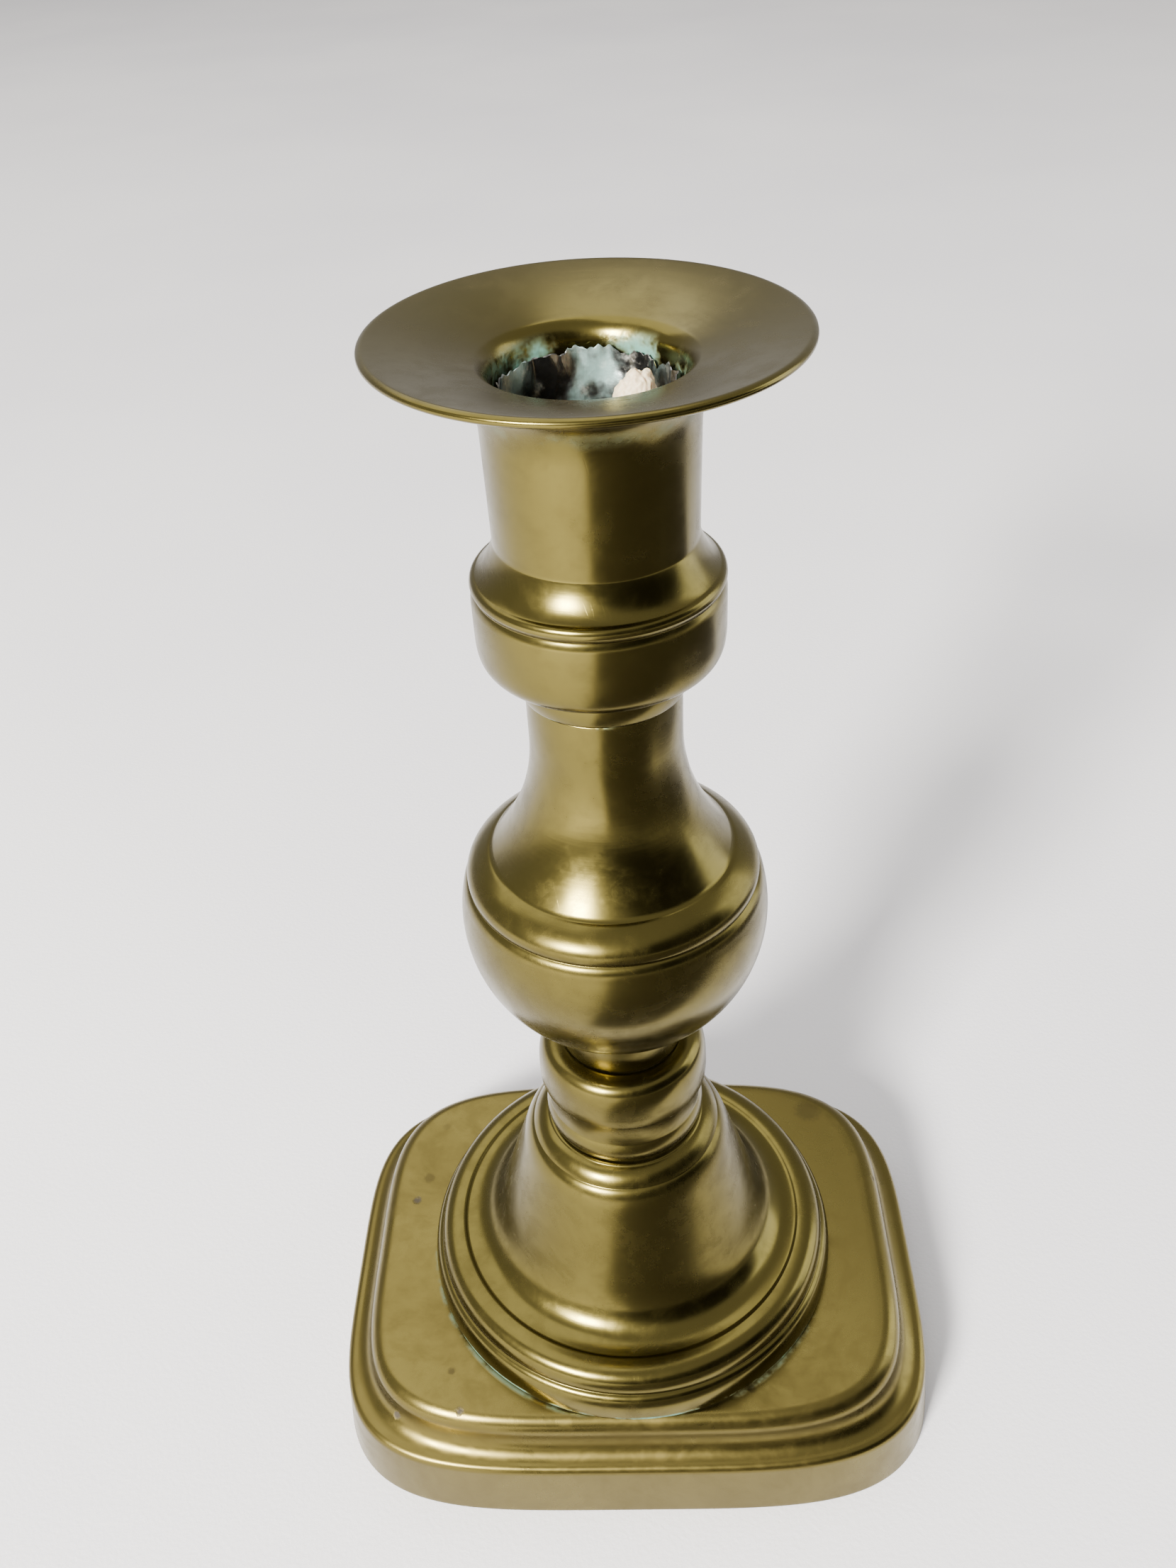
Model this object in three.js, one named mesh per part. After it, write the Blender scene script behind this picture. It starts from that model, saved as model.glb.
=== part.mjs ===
// A turned and cast brass candlestick: a flat-topped oblong foot with bowed sides, a bell foot,
// a knop, a ball baluster and a candle socket with a wide drip pan, held together by a hollow
// tenon and a nut. A push rod runs up the hollow stem and lifts the candle seat.
// Millimetres, +Z up. The origin is the centre of the plane that the foot stands on.
import * as THREE from 'three';

// Gaps
const SEAT_GAP = 0.3; // between two faces that are drawn tight
const SLIDE_GAP = 0.4; // round each piece of the push rod that slides

// Foot plate
const PLATE_HALF_WIDTH = 53.3;
const PLATE_HALF_DEPTH = 41.3;
const PLATE_SQUARENESS = 4.2; // 2 would be an ellipse, and much more a sharp rectangle
const PLATE_HEIGHT = 20;
const PLATE_BAND_HEIGHT = 11.3; // the upright band round the bottom
const PLATE_BAND_TAPER = 0.9; // how far the band leans in to its top
const PLATE_TOP_INSET = 5.7; // from the foot of the band in to the edge of the top
const PLATE_TOP_ROUND = 3.2;
const PLATE_WALL = 2.8;

// Bell foot
const FOOT_RADIUS = 36.2;
const FOOT_BEAD_HEIGHT = 5.4; // the lowest bead of its moulding
const FOOT_BEAD_STEP = 1.7; // how far the roll above stands back from that bead
const FOOT_ROLL_WIDTH = 4.7;
const FOOT_ROLL_HEIGHT = 3.6;
const FOOT_GROOVE_DEPTH = 0.5;
const FOOT_COVE_WIDTH = 5.2; // the hollow between the roll and the bell
const FOOT_WALL = 3.4;
const BELL_HEIGHT = 28.1; // from the top of the roll to the top of the bell
const BELL_FLARE_HEIGHT = 8.7; // how far above the roll the bell starts to spread outwards
const BELL_SHOULDER_WIDTH = 5;
const BELL_SHOULDER_HEIGHT = 7;
const BELL_RING_WIDTH = 2.8; // the ring on the shoulder, from its line in to the bell's top
const BELL_RING_HEIGHT = 2.7;
const BELL_TOP_RADIUS = 12.9;
const BELL_WALL = 3;
const BELL_CROWN = 4; // thickness of the bell's top, round the tenon

// Knop between the bell and the ball
const KNOP_COLLAR_RADIUS = 12.9;
const KNOP_COLLAR_HEIGHT = 9.3;
const KNOP_COLLAR_HOLLOW = 0.3; // how far the collar's side is hollowed
const KNOP_BEAD_HEIGHT = 4.3; // the bead round the foot of the collar
const KNOP_BEAD_SWELL = 0.2; // how far it stands out from the collar
const KNOP_RADIUS = 13.75;
const KNOP_EDGE_HEIGHT = 1.7;
const KNOP_DOME_HEIGHT = 7.3;

// Baluster
const WAIST_RADIUS = 9.8; // the narrow collar under the ball, and the top of the knop
const WAIST_LENGTH = 7.1;
const BALL_RADIUS = 22.8;
const BALL_BAND_RISE = 6.9; // from the ball's centre up to its raised band
const BALL_BAND_HEIGHT = 4.8;
const BALL_BAND_TOP_RADIUS = 18.1;
const BAND_STEP = 0.5; // depth of the two steps that edge the band
const NECK_RADIUS = 10.55;
const NECK_FLARE_RADIUS = 31; // the hollow curve from the ball up to the neck
const NECK_LENGTH = 7.6; // the straight part of the neck
const BALL_WALL = 4.4;

// Candle socket and drip pan
const COLLAR_RADIUS = 11.5;
const COLLAR_HEIGHT = 4.4;
const CUP_RADIUS = 16.3;
const CUP_ROUND_HEIGHT = 6.1;
const CUP_BAND_HEIGHT = 5.5;
const CUP_GROOVE_DEPTH = 0.4;
const CUP_LIP_HEIGHT = 1.4;
const LEDGE_HEIGHT = 4.5; // the hollow curve from the cup in to the tube
const TUBE_RADIUS = 12.9;
const TUBE_TAPER = 0.25; // how much wider the tube is at its top
const TUBE_LENGTH = 14;
const PAN_RADIUS = 26;
const PAN_RISE = 11.4; // from the top of the tube up to the rim of the pan
const PAN_FALL = 3.7; // from the rim of the pan down to the edge of the mouth
const PAN_THICKNESS = 1.2;
const MOUTH_RADIUS = 12.5;
const MOUTH_ROUND = 2.6; // height of the rounded entry
const BORE_RADIUS = 11.4;
const BORE_DEPTH = 38.6; // from the rim of the pan down to the floor of the bore

// Tenons, washer and nut
const TENON_RADIUS = 7;
const TENON_BORE_RADIUS = 5.3;
const TENON_OVERHANG = 0.7; // what shows of the tenon below the nut
const UPPER_TENON_RADIUS = 6;
const UPPER_TENON_LENGTH = 12;
const WASHER_RADIUS = 13;
const WASHER_THICKNESS = 1.2;
const NUT_ACROSS_FLATS = 20;
const NUT_THICKNESS = 3.6;

// Push rod
const ROD_RADIUS = 1.9;
const ROD_TRAVEL = 28;
const ROD_HEAD_RADIUS = 3.4;
const ROD_HEAD_HEIGHT = 1.1;
const ROD_COLLAR_RADIUS = 4;
const ROD_COLLAR_HEIGHT = 1.6;
const SEAT_THICKNESS = 1.3;
const SEAT_LIP = 0.8;
const BUTTON_THICKNESS = 3;
const BUTTON_LIFT = 4; // between the button and what the foot stands on

// What the last candle left behind
const FOIL_THICKNESS = 0.35;
const FOIL_CRUMPLE = 0.32;
const FOIL_TOP_DROP = 5.5; // from the rim of the pan down to the middle of the foil's torn edge
const FOIL_TEAR = 1.2;
const WAX_POOL_HEIGHT = 3;
const WAX_LUMP_RADIUS = 3.1;
const WAX_LUMP_HALF_HEIGHT = 5;
const WAX_LUMP_ANGLE = 32; // degrees round from +X

// Small finishing sizes
const EDGE_ROUND = 0.5; // broken edges of the turned pieces
const SMALL_CHAMFER = 0.4; // broken edges of the pieces inside

// Segments round a turned piece, round the plate, and along each curve of an outline
const TURNED_SEGMENTS = 36;
const PLATE_SEGMENTS = 72;
const SMALL_SEGMENTS = 24;
const CURVE_STEPS = 3;
const CORNER_GATHER = 0.12; // draws the plate's segments together at its four corners

// Heights that follow from the sizes above, from the bottom up
const footBottom = PLATE_HEIGHT + SEAT_GAP;
const rollBottom = footBottom + FOOT_BEAD_HEIGHT;
const rollTop = rollBottom + FOOT_ROLL_HEIGHT;
const bellTop = rollTop + BELL_HEIGHT;
const knopBottom = bellTop + SEAT_GAP;
const knopEdge = knopBottom + KNOP_COLLAR_HEIGHT;
const knopTop = knopEdge + KNOP_EDGE_HEIGHT + KNOP_DOME_HEIGHT;
const balusterBottom = knopTop + SEAT_GAP;
const ballDrop = Math.sqrt(BALL_RADIUS ** 2 - WAIST_RADIUS ** 2);
const ballCentre = balusterBottom + WAIST_LENGTH + ballDrop;
const bandBottom = ballCentre + BALL_BAND_RISE;
const bandTop = bandBottom + BALL_BAND_HEIGHT;
const shoulderRadius = BALL_BAND_TOP_RADIUS - BAND_STEP;
const flareWidth = shoulderRadius - NECK_RADIUS;
const flareHeight = Math.sqrt(2 * NECK_FLARE_RADIUS * flareWidth - flareWidth ** 2);
const neckBottom = bandTop + flareHeight;
const balusterTop = neckBottom + NECK_LENGTH;
const socketBottom = balusterTop + SEAT_GAP;
const cupBottom = socketBottom + COLLAR_HEIGHT;
const cupBand = cupBottom + CUP_ROUND_HEIGHT;
const cupLip = cupBand + CUP_BAND_HEIGHT;
const ledgeBottom = cupLip + CUP_LIP_HEIGHT;
const tubeBottom = ledgeBottom + LEDGE_HEIGHT;
const tubeTop = tubeBottom + TUBE_LENGTH;
const panRim = tubeTop + PAN_RISE;
const boreFloor = panRim - BORE_DEPTH;
const washerTop = PLATE_HEIGHT - PLATE_WALL - SEAT_GAP;
const nutTop = washerTop - WASHER_THICKNESS - SEAT_GAP;
const tenonBottom = nutTop - NUT_THICKNESS - TENON_OVERHANG;
const buttonTop = BUTTON_LIFT + BUTTON_THICKNESS;
const travelStop = buttonTop + ROD_TRAVEL + SEAT_GAP;
const rodCollarBottom = boreFloor + SEAT_GAP;
const seatBottom = rodCollarBottom + ROD_COLLAR_HEIGHT + SEAT_GAP;
const seatTop = seatBottom + SEAT_THICKNESS;
const rodHeadBottom = seatTop + SEAT_GAP;
const foilBottom = seatTop + SEAT_LIP + SEAT_GAP;
const foilTop = panRim - FOIL_TOP_DROP;

// Radii that follow from the fits
const plateTopEdge = PLATE_HALF_WIDTH - PLATE_TOP_INSET;
const rollOuter = FOOT_RADIUS - FOOT_BEAD_STEP;
const rollInner = rollOuter - FOOT_ROLL_WIDTH;
const bellFootRadius = rollInner - FOOT_COVE_WIDTH;
const tenonHole = TENON_RADIUS + SEAT_GAP;
const rodHole = ROD_RADIUS + SLIDE_GAP;
const rodFit = ROD_RADIUS + SEAT_GAP;
const seatRadius = BORE_RADIUS - SLIDE_GAP;
const buttonRadius = TENON_BORE_RADIUS - SLIDE_GAP;
const foilRadius = BORE_RADIUS - SLIDE_GAP - FOIL_CRUMPLE;
const foilInside = foilRadius - FOIL_THICKNESS - FOIL_CRUMPLE;

/** Outline of a turned piece: a path in (radius, height), drawn with its outer side going up. */
function outline(radius, height) {
  const path = new THREE.Path();
  path.moveTo(radius, height);
  return path;
}

/** Revolves an outline round the Z axis. */
function turn(path, segments = TURNED_SEGMENTS, curveSteps = CURVE_STEPS) {
  const geometry = new THREE.LatheGeometry(path.getPoints(curveSteps), segments);
  geometry.rotateX(Math.PI / 2);
  return geometry;
}

/** Moves every vertex of a geometry by a function of its cylinder coordinates. */
function reshape(geometry, move) {
  const place = geometry.attributes.position;
  for (let i = 0; i < place.count; i += 1) {
    const radius = Math.hypot(place.getX(i), place.getY(i));
    const angle = Math.atan2(place.getY(i), place.getX(i));
    const moved = move(radius, angle, place.getZ(i));
    const x = moved.radius * Math.cos(moved.angle);
    const y = moved.radius * Math.sin(moved.angle);
    place.setXYZ(i, x, y, moved.height);
  }
  place.needsUpdate = true;
  geometry.computeVertexNormals();
  return geometry;
}

/** Distance from the centre to the plate's outer edge: bowed sides with rounded corners. */
function plateEdge(angle) {
  const across = Math.abs(Math.cos(angle)) / PLATE_HALF_WIDTH;
  const along = Math.abs(Math.sin(angle)) / PLATE_HALF_DEPTH;
  return (across ** PLATE_SQUARENESS + along ** PLATE_SQUARENESS) ** (-1 / PLATE_SQUARENESS);
}

/** Turns the plate's round outline, drawn through the middle of a short side, into the plate's. */
function spreadToPlate(radius, angle, height) {
  const gathered = angle + CORNER_GATHER * Math.sin(4 * angle);
  const share = THREE.MathUtils.clamp((radius - rollInner) / (plateTopEdge - FOOT_WALL - rollInner), 0, 1);
  const stretch = plateEdge(gathered) / PLATE_HALF_WIDTH - 1;
  return { radius: radius * (1 + share * stretch), angle: gathered, height };
}

/** Foot plate: a hollow casting, open below, with an upright band, a cove and a flat top. */
function footPlate() {
  const bandTopRadius = PLATE_HALF_WIDTH - PLATE_BAND_TAPER;
  const roundCentre = PLATE_HEIGHT - PLATE_TOP_ROUND;
  const coveHeight = roundCentre - PLATE_BAND_HEIGHT;
  const innerSide = PLATE_HALF_WIDTH - PLATE_WALL;
  const innerTop = PLATE_HEIGHT - PLATE_WALL;
  const innerCorner = plateTopEdge - PLATE_WALL;
  const path = outline(innerSide, 0);
  path.lineTo(PLATE_HALF_WIDTH - EDGE_ROUND, 0);
  path.lineTo(PLATE_HALF_WIDTH, EDGE_ROUND);
  path.lineTo(bandTopRadius, PLATE_BAND_HEIGHT - EDGE_ROUND);
  path.lineTo(bandTopRadius - EDGE_ROUND, PLATE_BAND_HEIGHT);
  path.quadraticCurveTo(plateTopEdge, PLATE_BAND_HEIGHT + coveHeight / 3, plateTopEdge, roundCentre);
  path.absarc(plateTopEdge - PLATE_TOP_ROUND, roundCentre, PLATE_TOP_ROUND, 0, Math.PI / 2, false);
  path.lineTo(rollInner, PLATE_HEIGHT);
  path.lineTo(tenonHole, PLATE_HEIGHT);
  path.lineTo(tenonHole, innerTop);
  path.lineTo(rollInner, innerTop);
  path.lineTo(innerCorner - PLATE_TOP_ROUND, innerTop);
  path.lineTo(innerCorner, innerTop - PLATE_TOP_ROUND);
  path.lineTo(innerSide, PLATE_BAND_HEIGHT - PLATE_WALL);
  path.lineTo(innerSide, 0);
  return reshape(turn(path, PLATE_SEGMENTS), spreadToPlate);
}

/** Bell foot: a moulding of a bead, a roll and a wide cove, and the hollow bell that rises from it. */
function bellFoot() {
  const shoulder = BELL_TOP_RADIUS + BELL_SHOULDER_WIDTH;
  const shoulderFoot = bellTop - BELL_SHOULDER_HEIGHT;
  const ringRadius = BELL_TOP_RADIUS + BELL_RING_WIDTH;
  const ringFoot = bellTop - BELL_RING_HEIGHT;
  const crown = bellTop - BELL_CROWN;
  const groove = rollTop - FOOT_GROOVE_DEPTH;
  const flareTop = rollTop + BELL_FLARE_HEIGHT;
  const lean = (bellFootRadius - shoulder) / (shoulderFoot - groove);
  const flareTopRadius = bellFootRadius - lean * (flareTop - groove);
  const flareMiddle = (groove + flareTop) / 2;
  const path = outline(bellFootRadius - BELL_WALL, footBottom);
  path.lineTo(FOOT_RADIUS - EDGE_ROUND, footBottom);
  path.lineTo(FOOT_RADIUS, footBottom + EDGE_ROUND);
  path.quadraticCurveTo(FOOT_RADIUS, rollBottom - EDGE_ROUND, rollOuter, rollBottom);
  path.quadraticCurveTo(rollOuter, rollTop + EDGE_ROUND, rollInner + EDGE_ROUND, rollTop);
  path.lineTo(rollInner, groove);
  path.bezierCurveTo(
    bellFootRadius, groove,
    (bellFootRadius + flareTopRadius) / 2, flareMiddle,
    flareTopRadius, flareTop,
  );
  path.lineTo(shoulder, shoulderFoot);
  path.quadraticCurveTo((shoulder + ringRadius) / 2, ringFoot, ringRadius, ringFoot);
  path.quadraticCurveTo(ringRadius - EDGE_ROUND, bellTop - EDGE_ROUND, BELL_TOP_RADIUS, bellTop - EDGE_ROUND);
  path.lineTo(BELL_TOP_RADIUS - EDGE_ROUND, bellTop);
  path.lineTo(tenonHole, bellTop);
  path.lineTo(tenonHole, crown);
  path.lineTo(BELL_TOP_RADIUS, crown);
  path.lineTo(shoulder - BELL_WALL, shoulderFoot - EDGE_ROUND);
  path.lineTo(bellFootRadius - BELL_WALL, rollTop);
  path.lineTo(bellFootRadius - BELL_WALL, footBottom);
  return turn(path);
}

/** Knop: a hollowed collar with a bead at its foot, under a domed button moulding. */
function knop() {
  const domeFoot = knopEdge + KNOP_EDGE_HEIGHT;
  const hollow = KNOP_COLLAR_RADIUS - KNOP_COLLAR_HOLLOW;
  const swell = KNOP_COLLAR_RADIUS + 2 * KNOP_BEAD_SWELL + KNOP_COLLAR_HOLLOW;
  const beadTop = knopBottom + KNOP_BEAD_HEIGHT;
  const domeShoulder = domeFoot + 0.76 * KNOP_DOME_HEIGHT;
  const domeCrown = WAIST_RADIUS + 0.86 * (KNOP_RADIUS - WAIST_RADIUS);
  const path = outline(tenonHole, knopBottom);
  path.lineTo(KNOP_COLLAR_RADIUS - EDGE_ROUND, knopBottom);
  path.quadraticCurveTo(swell, (knopBottom + beadTop) / 2, hollow, beadTop);
  path.quadraticCurveTo(hollow - KNOP_COLLAR_HOLLOW, (beadTop + knopEdge) / 2, hollow, knopEdge - EDGE_ROUND);
  path.quadraticCurveTo(KNOP_RADIUS, knopEdge, KNOP_RADIUS, domeFoot);
  path.bezierCurveTo(KNOP_RADIUS, domeShoulder, domeCrown, knopTop, WAIST_RADIUS, knopTop);
  path.lineTo(tenonHole, knopTop);
  path.lineTo(tenonHole, knopBottom);
  return turn(path);
}

/** Baluster: tenon, waist, ball with a raised band, flared shoulder and neck, cored inside. */
function baluster() {
  const ballAngle = Math.asin(ballDrop / BALL_RADIUS);
  const bandAngle = Math.asin(BALL_BAND_RISE / BALL_RADIUS);
  const bandOuter = BALL_RADIUS * Math.cos(bandAngle) - BAND_STEP;
  const flareAngle = Math.asin(flareHeight / NECK_FLARE_RADIUS);
  const flareCentre = NECK_RADIUS + NECK_FLARE_RADIUS;
  const recessRadius = UPPER_TENON_RADIUS + SEAT_GAP;
  const recess = balusterTop - UPPER_TENON_LENGTH - SEAT_GAP;
  const coreRadius = BALL_RADIUS - BALL_WALL;
  const coreBottom = ballCentre - ballDrop + BALL_WALL;
  const coreTop = recess - BALL_WALL;
  const path = outline(TENON_BORE_RADIUS, tenonBottom);
  path.lineTo(TENON_RADIUS - SMALL_CHAMFER, tenonBottom);
  path.lineTo(TENON_RADIUS, tenonBottom + SMALL_CHAMFER);
  path.lineTo(TENON_RADIUS, balusterBottom);
  path.lineTo(WAIST_RADIUS - EDGE_ROUND, balusterBottom);
  path.lineTo(WAIST_RADIUS, balusterBottom + EDGE_ROUND);
  path.lineTo(WAIST_RADIUS, balusterBottom + WAIST_LENGTH);
  path.absarc(0, ballCentre, BALL_RADIUS, -ballAngle, 0, false);
  path.absarc(0, ballCentre, BALL_RADIUS, 0, bandAngle, false);
  path.lineTo(bandOuter, bandBottom + BAND_STEP / 2);
  path.quadraticCurveTo(bandOuter, (bandBottom + bandTop) / 2, BALL_BAND_TOP_RADIUS, bandTop - BAND_STEP / 2);
  path.lineTo(shoulderRadius, bandTop);
  path.absarc(flareCentre, neckBottom, NECK_FLARE_RADIUS, Math.PI + flareAngle, Math.PI, true);
  path.lineTo(NECK_RADIUS, balusterTop);
  path.lineTo(recessRadius, balusterTop);
  path.lineTo(recessRadius, recess);
  path.lineTo(rodHole, recess);
  path.lineTo(rodHole, coreTop);
  path.quadraticCurveTo(coreRadius / 2, coreTop - EDGE_ROUND, coreRadius * 0.7, bandTop - BALL_WALL / 2);
  path.quadraticCurveTo(coreRadius, ballCentre + BALL_WALL, coreRadius, ballCentre);
  path.quadraticCurveTo(coreRadius, coreBottom + EDGE_ROUND, rodHole, coreBottom);
  path.lineTo(rodHole, travelStop);
  path.lineTo(TENON_BORE_RADIUS, travelStop);
  path.lineTo(TENON_BORE_RADIUS, tenonBottom);
  return turn(path);
}

/** Candle socket: tenon, collar, cup, tube and drip pan in one turning, with the candle's bore. */
function candleSocket() {
  const tenonFoot = socketBottom - UPPER_TENON_LENGTH;
  const collarMiddle = (socketBottom + cupBottom) / 2;
  const collarTop = cupBottom - EDGE_ROUND;
  const cupRound = cupBottom + CUP_ROUND_HEIGHT / 4;
  const tubeTopRadius = TUBE_RADIUS + TUBE_TAPER;
  const mouthEdge = panRim - PAN_FALL;
  const panUnder = mouthEdge - PAN_THICKNESS;
  const rimUnder = panRim - PAN_THICKNESS;
  const panMiddle = (PAN_RADIUS + MOUTH_RADIUS) / 2;
  const path = outline(rodHole, tenonFoot);
  path.lineTo(UPPER_TENON_RADIUS - SMALL_CHAMFER, tenonFoot);
  path.lineTo(UPPER_TENON_RADIUS, tenonFoot + SMALL_CHAMFER);
  path.lineTo(UPPER_TENON_RADIUS, socketBottom);
  path.lineTo(COLLAR_RADIUS - EDGE_ROUND, socketBottom);
  path.quadraticCurveTo(COLLAR_RADIUS + EDGE_ROUND, collarMiddle, COLLAR_RADIUS - EDGE_ROUND, collarTop);
  path.lineTo(COLLAR_RADIUS + EDGE_ROUND, cupBottom);
  path.bezierCurveTo(CUP_RADIUS, cupBottom, CUP_RADIUS, cupRound, CUP_RADIUS, cupBand);
  path.lineTo(CUP_RADIUS, cupLip - CUP_GROOVE_DEPTH);
  path.lineTo(CUP_RADIUS - CUP_GROOVE_DEPTH, cupLip);
  path.lineTo(CUP_RADIUS, cupLip + CUP_GROOVE_DEPTH);
  path.lineTo(CUP_RADIUS, ledgeBottom - EDGE_ROUND);
  path.lineTo(CUP_RADIUS - EDGE_ROUND, ledgeBottom);
  path.quadraticCurveTo(TUBE_RADIUS, ledgeBottom + EDGE_ROUND, TUBE_RADIUS, tubeBottom);
  path.lineTo(tubeTopRadius, tubeTop);
  path.quadraticCurveTo(tubeTopRadius, panUnder, panMiddle, (panUnder + rimUnder) / 2);
  path.lineTo(PAN_RADIUS - EDGE_ROUND, rimUnder);
  path.lineTo(PAN_RADIUS, panRim - PAN_THICKNESS / 2);
  path.lineTo(PAN_RADIUS - EDGE_ROUND, panRim);
  path.quadraticCurveTo(panMiddle, panRim - PAN_FALL / 3, MOUTH_RADIUS + EDGE_ROUND, mouthEdge + EDGE_ROUND);
  path.quadraticCurveTo(BORE_RADIUS, mouthEdge - EDGE_ROUND, BORE_RADIUS, mouthEdge - MOUTH_ROUND);
  path.lineTo(BORE_RADIUS, boreFloor);
  path.lineTo(rodHole, boreFloor);
  path.lineTo(rodHole, tenonFoot);
  return turn(path);
}

/** Washer under the top of the plate. */
function tenonWasher() {
  const path = outline(tenonHole, washerTop - WASHER_THICKNESS);
  path.lineTo(WASHER_RADIUS, washerTop - WASHER_THICKNESS);
  path.lineTo(WASHER_RADIUS, washerTop);
  path.lineTo(tenonHole, washerTop);
  path.lineTo(tenonHole, washerTop - WASHER_THICKNESS);
  return turn(path, SMALL_SEGMENTS);
}

/** Six-sided nut on the lower tenon. */
function tenonNut() {
  const cornerRadius = NUT_ACROSS_FLATS / 2 / Math.cos(Math.PI / 6);
  const hexagon = new THREE.Shape();
  hexagon.moveTo(cornerRadius, 0);
  for (let corner = 1; corner < 6; corner += 1) {
    const angle = (corner * Math.PI) / 3;
    hexagon.lineTo(cornerRadius * Math.cos(angle), cornerRadius * Math.sin(angle));
  }
  const hole = new THREE.Path();
  hole.absarc(0, 0, tenonHole, 0, 2 * Math.PI, true);
  hexagon.holes.push(hole);
  const geometry = new THREE.ExtrudeGeometry(hexagon, {
    depth: NUT_THICKNESS,
    bevelEnabled: false,
    curveSegments: SMALL_SEGMENTS,
  });
  geometry.translate(0, 0, nutTop - NUT_THICKNESS);
  return geometry;
}

/** Push rod: its upper end is peened over the seat, its lower end over the button. */
function pushRod() {
  const buttonFace = BUTTON_LIFT + BUTTON_THICKNESS / 2;
  const rodHeadTop = rodHeadBottom + ROD_HEAD_HEIGHT;
  const path = outline(0, buttonFace);
  path.lineTo(ROD_RADIUS, buttonFace);
  path.lineTo(ROD_RADIUS, rodHeadBottom);
  path.lineTo(ROD_HEAD_RADIUS, rodHeadBottom);
  path.quadraticCurveTo(ROD_HEAD_RADIUS, rodHeadTop, 0, rodHeadTop);
  return turn(path, SMALL_SEGMENTS);
}

/** Collar on the rod, which the candle seat rests on. */
function rodCollar() {
  const top = rodCollarBottom + ROD_COLLAR_HEIGHT;
  const path = outline(rodFit, rodCollarBottom);
  path.lineTo(ROD_COLLAR_RADIUS - SMALL_CHAMFER, rodCollarBottom);
  path.lineTo(ROD_COLLAR_RADIUS, rodCollarBottom + SMALL_CHAMFER);
  path.lineTo(ROD_COLLAR_RADIUS, top);
  path.lineTo(rodFit, top);
  path.lineTo(rodFit, rodCollarBottom);
  return turn(path, SMALL_SEGMENTS);
}

/** Candle seat: a disc with a low turned-up lip, which lifts the candle. */
function candleSeat() {
  const path = outline(rodFit, seatBottom);
  path.lineTo(seatRadius, seatBottom);
  path.lineTo(seatRadius, seatTop + SEAT_LIP);
  path.lineTo(seatRadius - SEAT_LIP, seatTop + SEAT_LIP);
  path.lineTo(seatRadius - 2 * SEAT_LIP, seatTop);
  path.lineTo(rodFit, seatTop);
  path.lineTo(rodFit, seatBottom);
  return turn(path);
}

/** Push button on the lower end of the rod, with a blind hole for it. */
function pushButton() {
  const holeEnd = BUTTON_LIFT + BUTTON_THICKNESS / 2 - SEAT_GAP;
  const roundTop = BUTTON_LIFT + 2 * SMALL_CHAMFER;
  const path = outline(0, BUTTON_LIFT);
  path.lineTo(buttonRadius - 2 * SMALL_CHAMFER, BUTTON_LIFT);
  path.quadraticCurveTo(buttonRadius, BUTTON_LIFT, buttonRadius, roundTop);
  path.lineTo(buttonRadius, buttonTop - SMALL_CHAMFER);
  path.lineTo(buttonRadius - SMALL_CHAMFER, buttonTop);
  path.lineTo(rodFit, buttonTop);
  path.lineTo(rodFit, holeEnd);
  path.lineTo(0, holeEnd);
  return turn(path, SMALL_SEGMENTS);
}

/** Crumpled foil sleeve that once packed the candle's butt, standing on the candle seat. */
function foilSleeve() {
  const inside = foilRadius - FOIL_THICKNESS;
  const middle = (foilBottom + foilTop) / 2;
  const path = outline(inside, foilBottom);
  path.lineTo(foilRadius, foilBottom);
  path.lineTo(foilRadius, middle);
  path.lineTo(foilRadius, foilTop);
  path.lineTo(inside, foilTop);
  path.lineTo(inside, middle);
  path.lineTo(inside, foilBottom);
  return reshape(turn(path), (radius, angle, height) => {
    const folds = Math.sin(9 * angle + 0.4 * height) * Math.cos(5 * angle - 0.2 * height);
    const torn = height > middle ? FOIL_TEAR * Math.sin(4 * angle + 1) : 0;
    return { radius: radius + FOIL_CRUMPLE * folds, angle, height: height + torn };
  });
}

/** Pool of old wax on the candle seat. */
function waxPool() {
  const radius = foilInside - SEAT_GAP;
  const bottom = rodHeadBottom + ROD_HEAD_HEIGHT + SEAT_GAP;
  const edge = bottom + 0.3 * WAX_POOL_HEIGHT;
  const shore = bottom + 0.8 * WAX_POOL_HEIGHT;
  const middle = bottom + 0.6 * WAX_POOL_HEIGHT;
  const path = outline(0, bottom);
  path.lineTo(radius - 2 * SEAT_LIP, bottom);
  path.lineTo(radius, edge);
  path.quadraticCurveTo(radius, bottom + WAX_POOL_HEIGHT, radius - 2 * SEAT_LIP, shore);
  path.quadraticCurveTo(radius / 2, middle, 0, middle);
  return turn(path, SMALL_SEGMENTS);
}

/** Lump of old wax and paper that clings inside the foil, near the mouth. */
function waxLump() {
  const geometry = new THREE.SphereGeometry(1, 18, 12);
  const place = geometry.attributes.position;
  for (let i = 0; i < place.count; i += 1) {
    const x = place.getX(i);
    const y = place.getY(i);
    const z = place.getZ(i);
    const swell = 1 - 0.12 * (1 + Math.sin(4 * x + 3 * z) * Math.cos(3 * y));
    place.setXYZ(i, x * swell, y * swell, z * swell);
  }
  geometry.scale(WAX_LUMP_RADIUS, WAX_LUMP_RADIUS, WAX_LUMP_HALF_HEIGHT);
  geometry.computeVertexNormals();
  const reach = foilInside - SEAT_GAP - WAX_LUMP_RADIUS;
  const angle = THREE.MathUtils.degToRad(WAX_LUMP_ANGLE);
  geometry.translate(reach * Math.cos(angle), reach * Math.sin(angle), foilTop - WAX_LUMP_HALF_HEIGHT);
  return geometry;
}

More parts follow.
